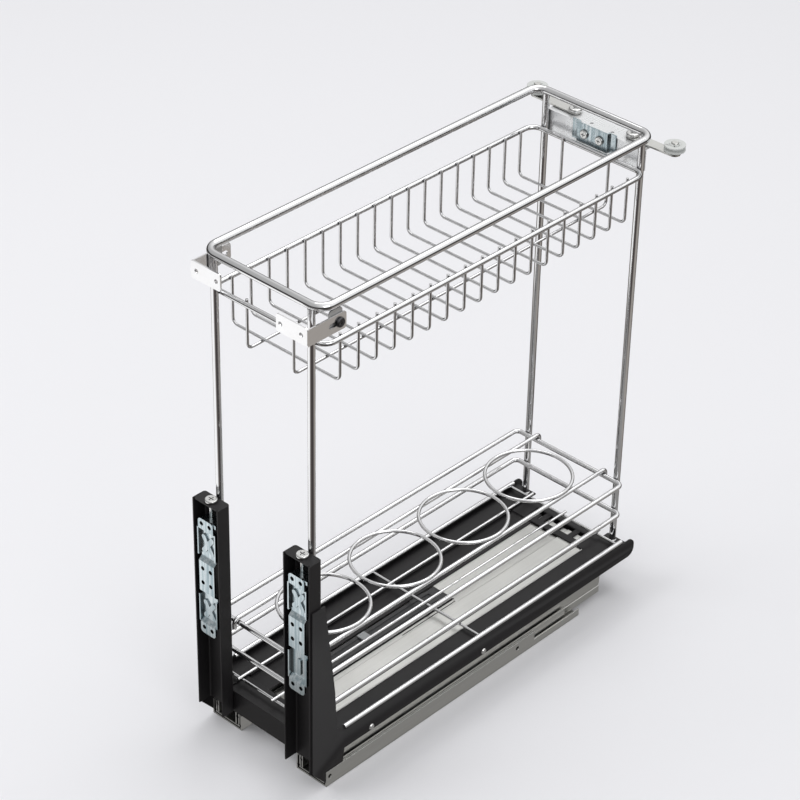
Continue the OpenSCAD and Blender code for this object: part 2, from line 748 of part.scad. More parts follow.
module hook_tab(s) color("darkgray") side(s) difference() {
    translate([tab_x, 0, 0]) plate_yz(sheet)
        round_rect([screw_y - tab_len + 5, slot_z - 8], tab_len, rail_z - rail_wire / 2 + 0.6 - slot_z + 8, 4);
    translate([tab_x - 1, screw_y, slot_z]) rotate([0, 90, 0])
        cylinder(h = sheet + 2, r = hook_screw_r + run_gap);
}

module hook_tab_left() hook_tab(-1);
module hook_tab_right() hook_tab(1);

module hook_screws() color("#3a3a3c")
    for (s = [-1, 1]) side(s) {
        translate([tab_x - 2, screw_y, slot_z]) rotate([0, 90, 0])
            cylinder(h = wing_x + sheet + slide_gap + 0.5 - tab_x + 2, r = hook_screw_r);
        translate([wing_x + sheet + slide_gap, screw_y, slot_z]) rotate([0, 90, 0]) pan_head(4.6, 2.2);
    }

module door_hook(s, back) color("silver") translate([0, back, 0]) side(s) difference() {
    union() {
        plate_xz(door_y, plate_t)
            round_rect([plate_x0, hook_z - hook_h / 2], wing_x + sheet - plate_x0, hook_h, 2.5);
        translate([wing_x, 0, 0]) plate_yz(sheet) {
            translate([door_y + plate_t / 2, slot_z - wing_h / 2])
                square([wing_end - wing_h / 2 - door_y - plate_t / 2, wing_h]);
            round_rect([wing_end - wing_h, slot_z - wing_h / 2], wing_h, wing_h, 3);
        }
    }
    for (m = [-1, 1])
        translate([door_hole_x + m * hook_hole_gap / 2, door_y - 1, hook_z]) rotate([-90, 0, 0])
            cylinder(h = plate_t + 2, r = door_hole_r);
    translate([wing_x - 1, 0, 0]) plate_yz(sheet + 2)
        translate([slot_y, slot_z]) slot_2d(slot_len, 2 * hook_screw_r + 0.5);
}

module door_hook_left() door_hook(-1, hook_back[0]);
module door_hook_right() door_hook(1, hook_back[1]);

// ---- anti-tip guide ------------------------------------------------------------------------

shelf_x = 60; // half width of the guide plate's shelf
upright_h = 22; // height of the guide plate's upright, below its shelf
box_w = 38;
box_ear = 8;
box_y = rear_y - 1; // the box bracket's front face
box_z0 = rim_z + 0.5;
box_z1 = rail_z - 18;

module guide_plate() color("lightgray") difference() {
    union() {
        block([-post_x - 6, upright_y, guide_z - upright_h], [post_x + 6, upright_y + sheet, guide_z]);
        translate([0, 0, guide_z - sheet]) linear_extrude(sheet) {
            round_rect([-shelf_x, upright_y + 4], 2 * shelf_x, pivot_y + 8 - upright_y - 4, 8);
            translate([-shelf_x, upright_y]) square([2 * shelf_x, 14]);
        }
    }
    for (s = [-1, 1])
        translate([s * pivot_x, pivot_y, guide_z - sheet - 1]) cylinder(h = sheet + 2, r = pin_r + run_gap);
    for (x = [-10, 16])
        translate([x, pivot_y - 6, guide_z - sheet - 1]) cylinder(h = sheet + 2, r = 1.8);
}

// A folded bracket with a hat section, open at the top and bottom
module guide_box() color("#d5dbe0") {
    half = box_w / 2;
    ear = half + box_ear;
    right = [
        [half, box_y], [half, upright_y - sheet], [ear, upright_y - sheet], [ear, upright_y],
        [half - sheet, upright_y], [half - sheet, box_y + sheet],
    ];
    left = [for (i = [len(right) - 1:-1:0]) [-right[i][0], right[i][1]]];
    translate([0, 0, box_z0]) linear_extrude(box_z1 - box_z0) polygon(concat(right, left));
}

module guide_box_screws() color("silver")
    for (s = [-1, 1])
        translate([s * box_w / 4, box_y, (box_z0 + box_z1) / 2]) rotate([90, 0, 0]) pan_head(4.6, 2.2);

module arm_screws() color("silver")
    for (s = [-1, 1]) translate([s * pivot_x, pivot_y, 0]) {
        translate([0, 0, arm_z + arm_t + slide_gap]) pan_head(6.5, 3);
        translate([0, 0, guide_z - sheet - 5]) cylinder(h = arm_z + arm_t + slide_gap + 1 - guide_z + sheet + 5, r = pin_r);
        translate([0, 0, guide_z - sheet - 4]) cylinder(h = 4, r = 5.6, $fn = 6);
    }

hub_h = 0.8; // the rollers' hubs stand this far above their upper flanges

module roller_arm(s) color("lightgray") side(s) {
    difference() {
        translate([pivot_x, pivot_y, arm_z]) rotate([0, 0, -arm_angle]) linear_extrude(arm_t)
            translate([arm_len / 2, 0]) slot_2d(arm_len + arm_w, arm_w);
        translate([pivot_x, pivot_y, arm_z - 1]) cylinder(h = arm_t + 2, r = pin_r + run_gap);
    }
    translate([roller_x, roller_y, arm_z + arm_t / 2])
        cylinder(h = spacer_h + arm_t / 2, r = axle_r + 1.8);
    translate([roller_x, roller_y, arm_z + arm_t / 2])
        cylinder(h = roller_z + roller_h + hub_h + slide_gap + 0.5 - arm_z - arm_t / 2, r = axle_r);
    translate([roller_x, roller_y, roller_z + roller_h + hub_h + slide_gap])
        cylinder(h = 1, r1 = axle_r + 1.2, r2 = axle_r + 0.5);
}

module roller_arm_left() roller_arm(-1);
module roller_arm_right() roller_arm(1);

// A grooved wheel with two flanges and a notched hub
module roller(s) color("gainsboro") side(s) translate([roller_x, roller_y, roller_z]) difference() {
    inner = axle_r + run_gap;
    waist = roller_r - 2.8;
    rotate_extrude() polygon([
        [inner, 0], [roller_r, 0], [roller_r, roller_h * 0.22], [waist, roller_h * 0.38],
        [waist, roller_h * 0.62], [roller_r, roller_h * 0.78], [roller_r, roller_h],
        [inner + 3, roller_h], [inner + 3, roller_h + hub_h], [inner, roller_h + hub_h],
    ]);
    for (a = [0:60:300]) rotate([0, 0, a])
        translate([inner + 1.6, -0.7, roller_h]) cube([3, 1.4, hub_h + 1]);
}

module roller_left() roller(-1);
module roller_right() roller(1);

top_rail();
post_front_left();
post_front_right();
post_rear_left();
post_rear_right();
upper_rim();
upper_bent_wires();
upper_long_wires();
lower_loop_top();
lower_loop_bottom();
floor_side_rails();
floor_long_wires();
floor_cross_wires();
insert_side_wires();
insert_rings();
side_panel_left();
side_panel_right();
front_cross_plate();
rear_cross_plate();
floor_pan();
floor_sheet();
panel_rivets();
damper_housing();
damper_cap();
damper_catch();
catch_bridge();
cabinet_rail_left();
cabinet_rail_right();
middle_rail_left();
middle_rail_right();
drawer_rail_left();
drawer_rail_right();
outer_cage_left();
outer_cage_right();
inner_cage_left();
inner_cage_right();
outer_balls_left();
outer_balls_right();
inner_balls_left();
inner_balls_right();
channel_left();
channel_right();
channel_caps();
adjust_screw_left();
adjust_screw_right();
door_bracket_left();
door_bracket_right();
hook_tab_left();
hook_tab_right();
hook_screws();
door_hook_left();
door_hook_right();
guide_plate();
guide_box();
guide_box_screws();
arm_screws();
roller_arm_left();
roller_arm_right();
roller_left();
roller_right();
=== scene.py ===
"""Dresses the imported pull-out cabinet basket for its product photograph.

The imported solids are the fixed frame. Every wire is drawn anew as a smooth bent tube, and every
sheet, moulding and screw is a copy of its solid with eased edges. Sizes in the classes are in
millimetres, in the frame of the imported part; meshes are scaled to metres when they are finished.
Finishes and the studio are in metres.
"""
import logging
import math
from dataclasses import dataclass, field
from enum import Enum
from typing import Any, Sequence

import bmesh
import bpy
from mathutils import Matrix, Vector


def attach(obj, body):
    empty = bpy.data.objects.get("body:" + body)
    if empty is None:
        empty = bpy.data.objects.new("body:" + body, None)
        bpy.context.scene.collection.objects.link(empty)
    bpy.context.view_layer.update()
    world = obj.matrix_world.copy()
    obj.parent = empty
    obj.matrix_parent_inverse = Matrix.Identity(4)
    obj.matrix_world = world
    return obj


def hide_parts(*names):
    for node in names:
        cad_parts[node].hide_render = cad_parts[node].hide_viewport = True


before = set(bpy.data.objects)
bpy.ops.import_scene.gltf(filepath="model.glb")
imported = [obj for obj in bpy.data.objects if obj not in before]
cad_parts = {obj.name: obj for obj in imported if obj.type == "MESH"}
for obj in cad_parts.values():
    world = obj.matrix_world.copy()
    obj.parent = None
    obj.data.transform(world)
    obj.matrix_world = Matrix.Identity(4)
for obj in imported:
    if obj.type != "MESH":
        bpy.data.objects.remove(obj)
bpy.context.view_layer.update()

LOG = logging.getLogger("basket")
MM = 0.001  # metres
Point = tuple[float, float, float]
Colour = tuple[float, float, float]
Mesh = bmesh.types.BMesh
Edge = bmesh.types.BMEdge
Vert = bmesh.types.BMVert
Node = bpy.types.Node
Socket = bpy.types.NodeSocket
Sockets = dict[str, Socket]
Outputs = bpy.types.bpy_prop_collection
ALONG_Y: Point = (1.0, 0.02, 1.0)  # the stretch of lines that run along Y
SHARP_TURN = math.radians(32.0)  # edges that turn more than this are eased
FLAT_TURN = math.radians(0.6)  # faces that turn less than this become one
WELD_GAP = 0.002  # corners of a solid's mesh that are closer than this are one
SEAM_GAP = 0.02  # the same, where a closed wire meets its start
NORMAL_WEIGHT = 80  # how much large faces lead the shading
END_SHRINK = 0.82  # a cut end's face, as a share of the wire's diameter
END_BULGE = 0.07  # how far it stands out, as a share of the diameter


class Body(Enum):
    """The rigid bodies that pieces ride on."""

    CABINET = "cabinet_side"
    CARRIAGE = "carriage"
    INSERT = "bottle_insert"
    CATCH = "catch"


class Side(Enum):
    """Left and right, as seen from the door."""

    LEFT = -1
    RIGHT = 1

    @property
    def label(self) -> str:
        """The side's word in node and body names."""
        return self.name.lower()


@dataclass(frozen=True)
class Sizes:
    """The part's main places, in millimetres, as the solids have them."""

    rail_w: float = 144.0
    frame_d: float = 442.0
    front_y: float = -224.0
    rail_z: float = 529.0
    rail_wire: float = 8.0
    rail_corner: float = 14.0
    post_x: float = 60.0
    post_d: float = 7.0
    flange_z: float = 51.0
    weld_sink: float = 0.3
    rim_z: float = 489.5
    rim_wire: float = 5.0
    loop_wire: float = 5.0

    @property
    def rear_y(self) -> float:
        """Centre of the top rail's rear run."""
        return self.front_y + self.frame_d

    @property
    def mid_y(self) -> float:
        """Middle of the frame's depth."""
        return self.front_y + self.frame_d / 2

    def inner_run(self, wire: float) -> float:
        """Depth of a loop that runs along the inner sides of the posts.

        Args:
            wire: The loop's wire diameter.

        Returns:
            The distance between the centres of its front and rear runs.
        """
        return self.frame_d - self.post_d - wire + 2 * self.weld_sink


# ---- shader tools ----


@dataclass
class Graph:
    """A short way to write a node tree."""

    tree: bpy.types.NodeTree

    @classmethod
    def of(cls, owner: bpy.types.Material | bpy.types.World) -> "Graph":
        """Empties the node tree of a material or world.

        Args:
            owner: The material or world.

        Returns:
            The empty tree, ready to be written.
        """
        owner.use_nodes = True
        owner.node_tree.nodes.clear()
        return cls(owner.node_tree)

    def add(self, kind: str, inputs: dict[Any, Any] | None = None, **settings: Any) -> Node:
        """Adds a node, sets its options and fills its inputs.

        Args:
            kind: The node's type name.
            inputs: Values or sockets for its inputs, by name or number.
            **settings: Options of the node itself.

        Returns:
            The new node.
        """
        node = self.tree.nodes.new(kind)
        for key, value in settings.items():
            setattr(node, key, value)
        for key, value in (inputs or {}).items():
            if isinstance(value, Socket):
                self.tree.links.new(value, node.inputs[key])
            else:
                node.inputs[key].default_value = value
        return node

    def math(self, operation: str, a: Any, b: Any, clamp: bool = False) -> Socket:
        """One sum on two values.

        Args:
            operation: The sum's name.
            a: First value or socket.
            b: Second value or socket.
            clamp: Whether the result is held between 0 and 1.

        Returns:
            The result's socket.
        """
        return self.add("ShaderNodeMath", {0: a, 1: b}, operation=operation, use_clamp=clamp).outputs[0]

    def total(self, *parts: tuple[Socket, float], clamp: bool = False) -> Socket:
        """Adds values up by their shares.

        Args:
            *parts: The values' sockets with their shares.
            clamp: Whether the result is held between 0 and 1.

        Returns:
            The result's socket.
        """
        value = self.math("MULTIPLY", *parts[0])
        for part in parts[1:]:
            value = self.math("ADD", value, self.math("MULTIPLY", *part), clamp and part is parts[-1])
        return value

    def remap(self, value: Any, low: float, high: float, to_low: float = 0.0, to_high: float = 1.0) -> Socket:
        """Maps one range on another, held within it.

        Args:
            value: The value or socket.
            low: Start of its range.
            high: End of its range.
            to_low: What low becomes.
            to_high: What high becomes.

        Returns:
            The mapped value's socket.
        """
        numbers = {0: value, 1: low, 2: high, 3: to_low, 4: to_high}
        return self.add("ShaderNodeMapRange", numbers, clamp=True).outputs[0]

    def blend(self, factor: Any, a: Any, b: Any) -> Socket:
        """Mixes two colours.

        Args:
            factor: How much of b, as a value or socket.
            a: First colour or socket.
            b: Second colour or socket.

        Returns:
            The mixed colour's socket.
        """
        wide = [v if isinstance(v, Socket) else (*v, 1.0) for v in (a, b)]
        return self.add("ShaderNodeMix", {0: factor, 6: wide[0], 7: wide[1]}, data_type="RGBA").outputs[2]

    def noise(self, vector: Socket, scale: Any, detail: float = 2.0, roughness: float = 0.5) -> Outputs:
        """Adds cloudy noise.

        Args:
            vector: Where it is read.
            scale: Its scale, as a value or socket.
            detail: How many finer layers it has.
            roughness: How strong they are.

        Returns:
            The outputs of the noise.
        """
        inputs = {"Vector": vector, "Scale": scale, "Detail": detail, "Roughness": roughness}
        return self.add("ShaderNodeTexNoise", inputs).outputs

    def ramp(self, value: Socket, stops: Sequence[tuple[float, Colour]]) -> Socket:
        """Maps a value on colours.

        Args:
            value: The value's socket.
            stops: Values with their colours, in order.

        Returns:
            The colour's socket.
        """
        node = self.add("ShaderNodeValToRGB", {0: value})
        points = node.color_ramp.elements
        for number, (at, colour) in enumerate((stops[0], stops[-1])):
            points[number].position, points[number].color = at, (*colour, 1.0)
        for at, colour in stops[1:-1]:
            points.new(at).color = (*colour, 1.0)
        return node.outputs[0]


class Effect:
    """A shader effect that several finishes share, made once as a node group.

    Attributes:
        name: The group's name.
        inputs: The names of its inputs. Vector and Stretch are vectors, the others are numbers.
        outputs: The names of the values that it puts out.
    """

    name: str
    inputs: tuple[str, ...] = ("Vector", "Scale")
    outputs: tuple[str, ...] = ("Mask",)

    @staticmethod
    def write(graph: Graph, given: Sockets) -> tuple[Socket, ...]:
        """Fills the group.

        Args:
            graph: The group's graph.
            given: Its inputs, by name.

        Returns:
            The values that it puts out, in the order of its outputs.
        """
        raise NotImplementedError

    @classmethod
    def group(cls) -> bpy.types.NodeTree:
        """The effect's node group, made at its first use."""
        found = bpy.data.node_groups.get(cls.name)
        if found is not None:
            return found
        tree = bpy.data.node_groups.new(cls.name, "ShaderNodeTree")
        for name in cls.inputs:
            kind = "NodeSocketVector" if name in ("Vector", "Stretch") else "NodeSocketFloat"
            tree.interface.new_socket(name=name, in_out="INPUT", socket_type=kind)
        for name in cls.outputs:
            tree.interface.new_socket(name=name, in_out="OUTPUT", socket_type="NodeSocketFloat")
        graph = Graph(tree)
        entry, out = graph.add("NodeGroupInput"), graph.add("NodeGroupOutput")
        given = {socket.name: socket for socket in entry.outputs if socket.name}
        for value, socket in zip(cls.write(graph, given), out.inputs):
            graph.tree.links.new(value, socket)
        return tree

    @classmethod
    def put(cls, graph: Graph, **inputs: Any) -> Outputs:
        """Places the effect in a material.

        Args:
            graph: The material's graph.
            **inputs: Values or sockets for all of the group's inputs.

        Returns:
            The group's outputs.
        """
        return graph.add("ShaderNodeGroup", inputs, node_tree=cls.group()).outputs


class Marks(Effect):
    """Handling marks: broad soft clouds with finer flecks in them."""

    name, outputs = "Handling marks", ("Clouds",)

    @staticmethod
    def write(graph: Graph, given: Sockets) -> tuple[Socket, ...]:
        """Mixes the clouds with the flecks."""
        broad = graph.noise(given["Vector"], given["Scale"], detail=5.0, roughness=0.55)
        fine = graph.noise(given["Vector"], graph.math("MULTIPLY", given["Scale"], 9.0), detail=3.0)
        both = graph.total((broad[0], 0.7), (fine[0], 0.3))
        return (graph.remap(both, 0.34, 0.66),)


class Peel(Effect):
    """The fine rounded grain of a baked or moulded skin."""

    name, outputs = "Skin grain", ("Height", "Mottle")

    @staticmethod
    def write(graph: Graph, given: Sockets) -> tuple[Socket, ...]:
        """Lays cells over slower waves."""
        vector, scale = given["Vector"], given["Scale"]
        cells = graph.add("ShaderNodeTexVoronoi", {"Vector": vector, "Scale": scale}, feature="SMOOTH_F1")
        waves = graph.noise(vector, graph.math("MULTIPLY", scale, 0.4), detail=4.0)[0]
        return graph.total((cells.outputs["Distance"], 0.5), (waves, 1.0)), graph.remap(waves, 0.35, 0.65)


class Lines(Effect):
    """Drawing or rolling lines, with some breaks in them, along the axis whose stretch is small."""

    name, inputs, outputs = "Drawing lines", ("Vector", "Stretch", "Scale"), ("Lines",)

    @staticmethod
    def write(graph: Graph, given: Sockets) -> tuple[Socket, ...]:
        """Stretches noise into lines."""
        long_map = graph.add("ShaderNodeMapping", {"Vector": given["Vector"], "Scale": given["Stretch"]})
        lines = graph.noise(long_map.outputs[0], given["Scale"], detail=4.0)[0]
        return (graph.remap(lines, 0.36, 0.64),)


class Wear(Effect):
    """Rubbed edges: where the surface turns sharply, broken up by grain."""

    name, inputs = "Rubbed edges", ("Vector", "Scale", "Amount")

    @staticmethod
    def write(graph: Graph, given: Sockets) -> tuple[Socket, ...]:
        """Compares the surface with a rounded one."""
        flat = graph.add("ShaderNodeNewGeometry").outputs["Normal"]
        rounded = graph.add("ShaderNodeBevel", {"Radius": 0.0005}, samples=4).outputs[0]
        alike = graph.add("ShaderNodeVectorMath", {0: flat, 1: rounded}, operation="DOT_PRODUCT")
        edge = graph.remap(alike.outputs["Value"], 0.90, 0.99, to_low=1.0, to_high=0.0)
        broken = graph.noise(given["Vector"], given["Scale"], detail=6.0)[0]
        mask = graph.math("MULTIPLY", edge, graph.remap(broken, 0.42, 0.60))
        return (graph.math("MULTIPLY", mask, given["Amount"], clamp=True),)


class Dust(Effect):
    """Faint dust that lies on faces looking up."""

    name, inputs = "Settled dust", ("Vector", "Scale", "Amount")

    @staticmethod
    def write(graph: Graph, given: Sockets) -> tuple[Socket, ...]:
        """Scatters specks on what looks up."""
        normal = graph.add("ShaderNodeNewGeometry").outputs["Normal"]
        up = graph.remap(graph.add("ShaderNodeSeparateXYZ", {0: normal}).outputs[2], 0.4, 0.95)
        specks = graph.noise(given["Vector"], given["Scale"], detail=8.0, roughness=0.7)[0]
        settled = graph.math("MULTIPLY", up, graph.remap(specks, 0.45, 0.75, to_low=0.1))
        return (graph.math("MULTIPLY", settled, given["Amount"], clamp=True),)


class Crystals(Effect):
    """The crystal patches of hot-dip zinc."""

    name, outputs = "Zinc crystals", ("Patches",)

    @staticmethod
    def write(graph: Graph, given: Sockets) -> tuple[Socket, ...]:
        """Sways the cells' edges a little."""
        wobble = graph.noise(given["Vector"], graph.math("MULTIPLY", given["Scale"], 2.0))["Color"]
        sway = {0: wobble, 1: (0.004,) * 3, 2: given["Vector"]}
        moved = graph.add("ShaderNodeVectorMath", sway, operation="MULTIPLY_ADD").outputs[0]
        cells = graph.add("ShaderNodeTexVoronoi", {"Vector": moved, "Scale": given["Scale"]}).outputs["Color"]
        return (graph.add("ShaderNodeSeparateColor", {0: cells}).outputs[0],)


class PaintedCornerShade(Effect):
    """Painted shade: darker colour where other surfaces stand close, in corners, joints and narrow gaps."""

    name, inputs = "Painted corner shade", ("Reach", "Amount")

    @staticmethod
    def write(graph: Graph, given: Sockets) -> tuple[Socket, ...]:
        """Measures how open the surface is."""
        # painted shade: ambient occlusion turns into a dark colour mask
        near = graph.add("ShaderNodeAmbientOcclusion", {"Distance": given["Reach"]}, samples=6).outputs["AO"]
        mask = graph.remap(near, 0.25, 0.85, to_low=1.0, to_high=0.0)
        return (graph.math("MULTIPLY", mask, given["Amount"]),)


@dataclass(frozen=True)
class Finish:
    """A surface finish with its frame slot. Its subclasses write the nodes that colour it."""

    name: str
    slot: str

    def write(self, graph: Graph, vector: Socket, skin: Node) -> None:
        """Writes the finish's nodes.

        Args:
            graph: The material's graph.
            vector: The surface's place, in Object coordinates.
            skin: The material's Principled shader.
        """
        raise NotImplementedError

    @staticmethod
    def coat(
        graph: Graph, skin: Node, base: Socket, rough: Socket, height: Socket, relief: float,
        depth: float = 0.0002,
    ) -> None:
        """Joins colour, roughness and fine relief to the shader.

        Args:
            graph: The material's graph.
            skin: The material's Principled shader.
            base: The colour.
            rough: The roughness.
            height: The relief's shape.
            relief: How much of it shows.
            depth: Its depth in metres.
        """
        bump = graph.add("ShaderNodeBump", {"Height": height, "Strength": relief, "Distance": depth})
        for name, value in (("Base Color", base), ("Roughness", rough), ("Normal", bump.outputs[0])):
            graph.tree.links.new(value, skin.inputs[name])

    def material(self) -> bpy.types.Material:
        """The finish's material, made at its first use."""
        found = bpy.data.materials.get(self.name)
        if found is not None:
            return found
        made = bpy.data.materials.new(self.name)
        graph = Graph.of(made)
        skin = graph.add("ShaderNodeBsdfPrincipled")
        graph.tree.links.new(skin.outputs[0], graph.add("ShaderNodeOutputMaterial").inputs[0])
        self.write(graph, graph.add("ShaderNodeTexCoord").outputs["Object"], skin)
        return made


@dataclass(frozen=True)
class Chrome(Finish):
    """Bright plating with a little haze and fine drawing lines."""

    light: Colour
    dark: Colour
    smooth: float
    hazy: float
    mark_share: float = 0.45
    # colour of the painted shade in narrow corners and where wires cross
    corner: Colour = (0.03, 0.03, 0.03)
    relief: float = 0.006

    def write(self, graph: Graph, vector: Socket, skin: Node) -> None:
        """Writes haze, tint, painted shade in narrow corners and fine relief."""
        marks = Marks.put(graph, Vector=vector, Scale=22.0)[0]
        lines = Lines.put(graph, Vector=vector, Stretch=ALONG_Y, Scale=1400.0)[0]
        # painted shade: the colour turns dark where other surfaces stand close
        painted_shade = PaintedCornerShade.put(graph, Reach=0.0025, Amount=0.75)[0]
        base = graph.blend(graph.math("MULTIPLY", marks, self.mark_share), self.light, self.dark)
        base = graph.blend(painted_shade, base, self.corner)
        rough = graph.remap(graph.total((marks, 0.7), (lines, 0.3)), 0.0, 1.0, self.smooth, self.hazy)
        self.coat(graph, skin, base, rough, lines, self.relief)
        skin.inputs["Metallic"].default_value = 1.0


@dataclass(frozen=True)
class PowderCoat(Finish):
    """Baked powder: a fine orange peel, rubbed edges and some dust."""

    colour: Colour = (0.0135, 0.0125, 0.0135)
    deeper: float = 0.88
    worn: Colour = (0.09, 0.088, 0.086)
    dust: Colour = (0.20, 0.19, 0.18)
    shine: float = 0.40
    mirror: float = 0.30
    relief: float = 0.03
    depth: float = 0.00005

    def write(self, graph: Graph, vector: Socket, skin: Node) -> None:
        """Writes colour, peel, wear and dust."""
        peel = Peel.put(graph, Vector=vector, Scale=2600.0)
        wear = Wear.put(graph, Vector=vector, Scale=350.0, Amount=0.25)[0]
        dust = Dust.put(graph, Vector=vector, Scale=900.0, Amount=0.006)[0]
        marks = Marks.put(graph, Vector=vector, Scale=16.0)[0]
        base = graph.blend(marks, self.colour, tuple(self.deeper * c for c in self.colour))
        base = graph.blend(dust, graph.blend(wear, base, self.worn), self.dust)
        mottle = graph.remap(peel["Mottle"], 0.0, 1.0, self.shine, self.shine + 0.05)
        rough = graph.math("ADD", mottle, graph.math("MULTIPLY", dust, 0.6))
        self.coat(graph, skin, base, rough, peel["Height"], self.relief, self.depth)
        skin.inputs["Specular IOR Level"].default_value = self.mirror


@dataclass(frozen=True)
class Plate(Finish):
    """Zinc on pressed steel, with rolling lines, patches and rubbed edges."""

    light: Colour
    dark: Colour
    smooth: float
    rough: float
    patch_scale: float
    line_share: float
    patch_share: float = 0.05
    mark_share: float = 0.22
    stretch: Point = ALONG_Y
    line_scale: float = 1100.0
    metal: float = 1.0
    worn: Colour = (0.86, 0.87, 0.88)
    # colour of the painted shade in narrow corners
    corner: Colour = (0.05, 0.05, 0.05)
    relief: float = 0.05

    def write(self, graph: Graph, vector: Socket, skin: Node) -> None:
        """Writes patches, lines, worn edges and painted shade in narrow corners."""
        patches = Crystals.put(graph, Vector=vector, Scale=self.patch_scale)[0]
        lines = Lines.put(graph, Vector=vector, Stretch=self.stretch, Scale=self.line_scale)[0]
        marks = Marks.put(graph, Vector=vector, Scale=28.0)[0]
        wear = Wear.put(graph, Vector=vector, Scale=300.0, Amount=0.6)[0]
        # painted shade: the colour turns dark in corners, recesses and narrow gaps
        painted_shade = PaintedCornerShade.put(graph, Reach=0.004, Amount=0.7)[0]
        shares = (patches, self.patch_share), (marks, self.mark_share), (lines, self.line_share)
        tone = graph.total(*shares, clamp=True)
        base = graph.blend(wear, graph.blend(tone, self.light, self.dark), self.worn)
        base = graph.blend(painted_shade, base, self.corner)
        self.coat(graph, skin, base, graph.remap(tone, 0.0, 1.0, self.smooth, self.rough), lines, self.relief)
        skin.inputs["Metallic"].default_value = self.metal


@dataclass(frozen=True)
class Moulded(Finish):
    """Moulded plastic with a fine skin grain and settled dust."""

    colour: Colour = (0.02, 0.02, 0.022)
    shine: float = 0.42
    grain: float = 0.12
    dusty: float = 0.08
    dust: Colour = (0.42, 0.41, 0.39)
    lighter: tuple[float, float] = (1.15, 0.01)
    worn: tuple[float, float] = (1.4, 0.03)

    def write(self, graph: Graph, vector: Socket, skin: Node) -> None:
        """Writes colour, grain, wear and dust."""
        peel = Peel.put(graph, Vector=vector, Scale=1600.0)
        marks = Marks.put(graph, Vector=vector, Scale=40.0)[0]
        dust = Dust.put(graph, Vector=vector, Scale=300.0, Amount=self.dusty)[0]
        wear = Wear.put(graph, Vector=vector, Scale=500.0, Amount=0.35)[0]
        paler = (tuple(min(1.0, k * c + more) for c in self.colour) for k, more in (self.lighter, self.worn))
        base = graph.blend(graph.math("MULTIPLY", marks, 0.6), self.colour, next(paler))
        base = graph.blend(dust, graph.blend(wear, base, next(paler)), self.dust)
        rough = graph.remap(marks, 0.0, 1.0, self.shine, self.shine + 0.14)
        self.coat(graph, skin, base, rough, peel["Height"], self.grain)


BRIGHT_WIRE = Chrome("Bright wire chrome", "chrome_wire", (0.82, 0.82, 0.83), (0.70, 0.70, 0.71), 0.04, 0.10)
BASKET_WIRE = Chrome("Basket wire chrome", "chrome_wire", (0.74, 0.74, 0.75), (0.60, 0.60, 0.61), 0.06, 0.14)
HOOK_CHROME = Chrome("Hook plate chrome", "chrome_plate", (0.88, 0.88, 0.89), (0.80, 0.79, 0.79), 0.10, 0.20)
BLACK_COAT = PowderCoat("Black powder coat", "black_steel")
BLUE_ZINC = Plate(
    "Blue zinc plate", "zinc", (0.68, 0.735, 0.76), (0.30, 0.385, 0.42), 0.16, 0.30, 160.0, 0.75,
    mark_share=0.30, stretch=(1.0, 1.0, 0.03), line_scale=420.0,
)
GUIDE_ZINC = Plate(
    "Guide zinc sheet", "galvanised", (0.86, 0.87, 0.88), (0.76, 0.77, 0.78), 0.26, 0.36, 160.0, 0.15,
    metal=0.65,
)
SCREW_ZINC = Plate("Screw zinc", "zinc", (0.76, 0.76, 0.75), (0.56, 0.56, 0.55), 0.18, 0.34, 900.0, 0.2)
DIP_ZINC = Plate(
    "Hot dip zinc", "galvanised", (0.66, 0.66, 0.64), (0.52, 0.515, 0.49), 0.32, 0.42, 110.0, 0.25,
    patch_share=0.02, mark_share=0.12,
)
TAB_ZINC = Plate(
    "Tab zinc", "galvanised", (0.56, 0.56, 0.56), (0.46, 0.46, 0.46), 0.40, 0.50, 110.0, 0.1,
    patch_share=0.02, mark_share=0.1, metal=0.8,
)
CAGE_STEEL = Plate("Cage steel", "cage_steel", (0.52, 0.52, 0.53), (0.38, 0.38, 0.39), 0.30, 0.48, 400.0, 0.4)
BALL_STEEL = Chrome("Ball steel", "ball_steel", (0.80, 0.80, 0.82), (0.66, 0.66, 0.68), 0.05, 0.12)
BLACK_MOULDING = Moulded("Black moulding", "black_plastic")
GREY_MOULDING = Moulded("Grey moulding", "grey_plastic", (0.30, 0.31, 0.32), 0.40, 0.10, 0.05)
DARK_SCREW = Plate(
    "Dark screw steel", "dark_screw", (0.10, 0.10, 0.105), (0.05, 0.05, 0.055), 0.30, 0.48, 900.0, 0.2
)
PALE_NYLON = Moulded("Pale nylon", "roller_plastic", (0.56, 0.575, 0.565), 0.30, 0.06, 0.02)


# ---- mesh tools ----


def settle(bm: Mesh, name: str, finish: Finish, *nodes: str, body: str = Body.CARRIAGE.value) -> None:
    """Finishes a mesh in millimetres as a piece: scales, dresses and ties it to the frame.

    Args:
        bm: The mesh, in millimetres. It is used up.
        name: The piece's name.
        finish: Its finish.
        *nodes: The solids that it stands for.
        body: The body that it rides on.
    """
    bmesh.ops.scale(bm, vec=(MM, MM, MM), verts=bm.verts)
    for face in bm.faces:
        face.smooth = True
    mesh = bpy.data.meshes.new(name)
    bm.to_mesh(mesh)
    bm.free()
    mesh.materials.append(finish.material())
    piece = bpy.data.objects.new(name, mesh)
    bpy.context.scene.collection.objects.link(piece)
    even = piece.modifiers.new("Even normals", "WEIGHTED_NORMAL")
    even.keep_sharp = True
    even.weight = NORMAL_WEIGHT
    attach(piece, body)
    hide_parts(*nodes)
    LOG.info("%s: %d faces on %s", name, len(mesh.polygons), body)


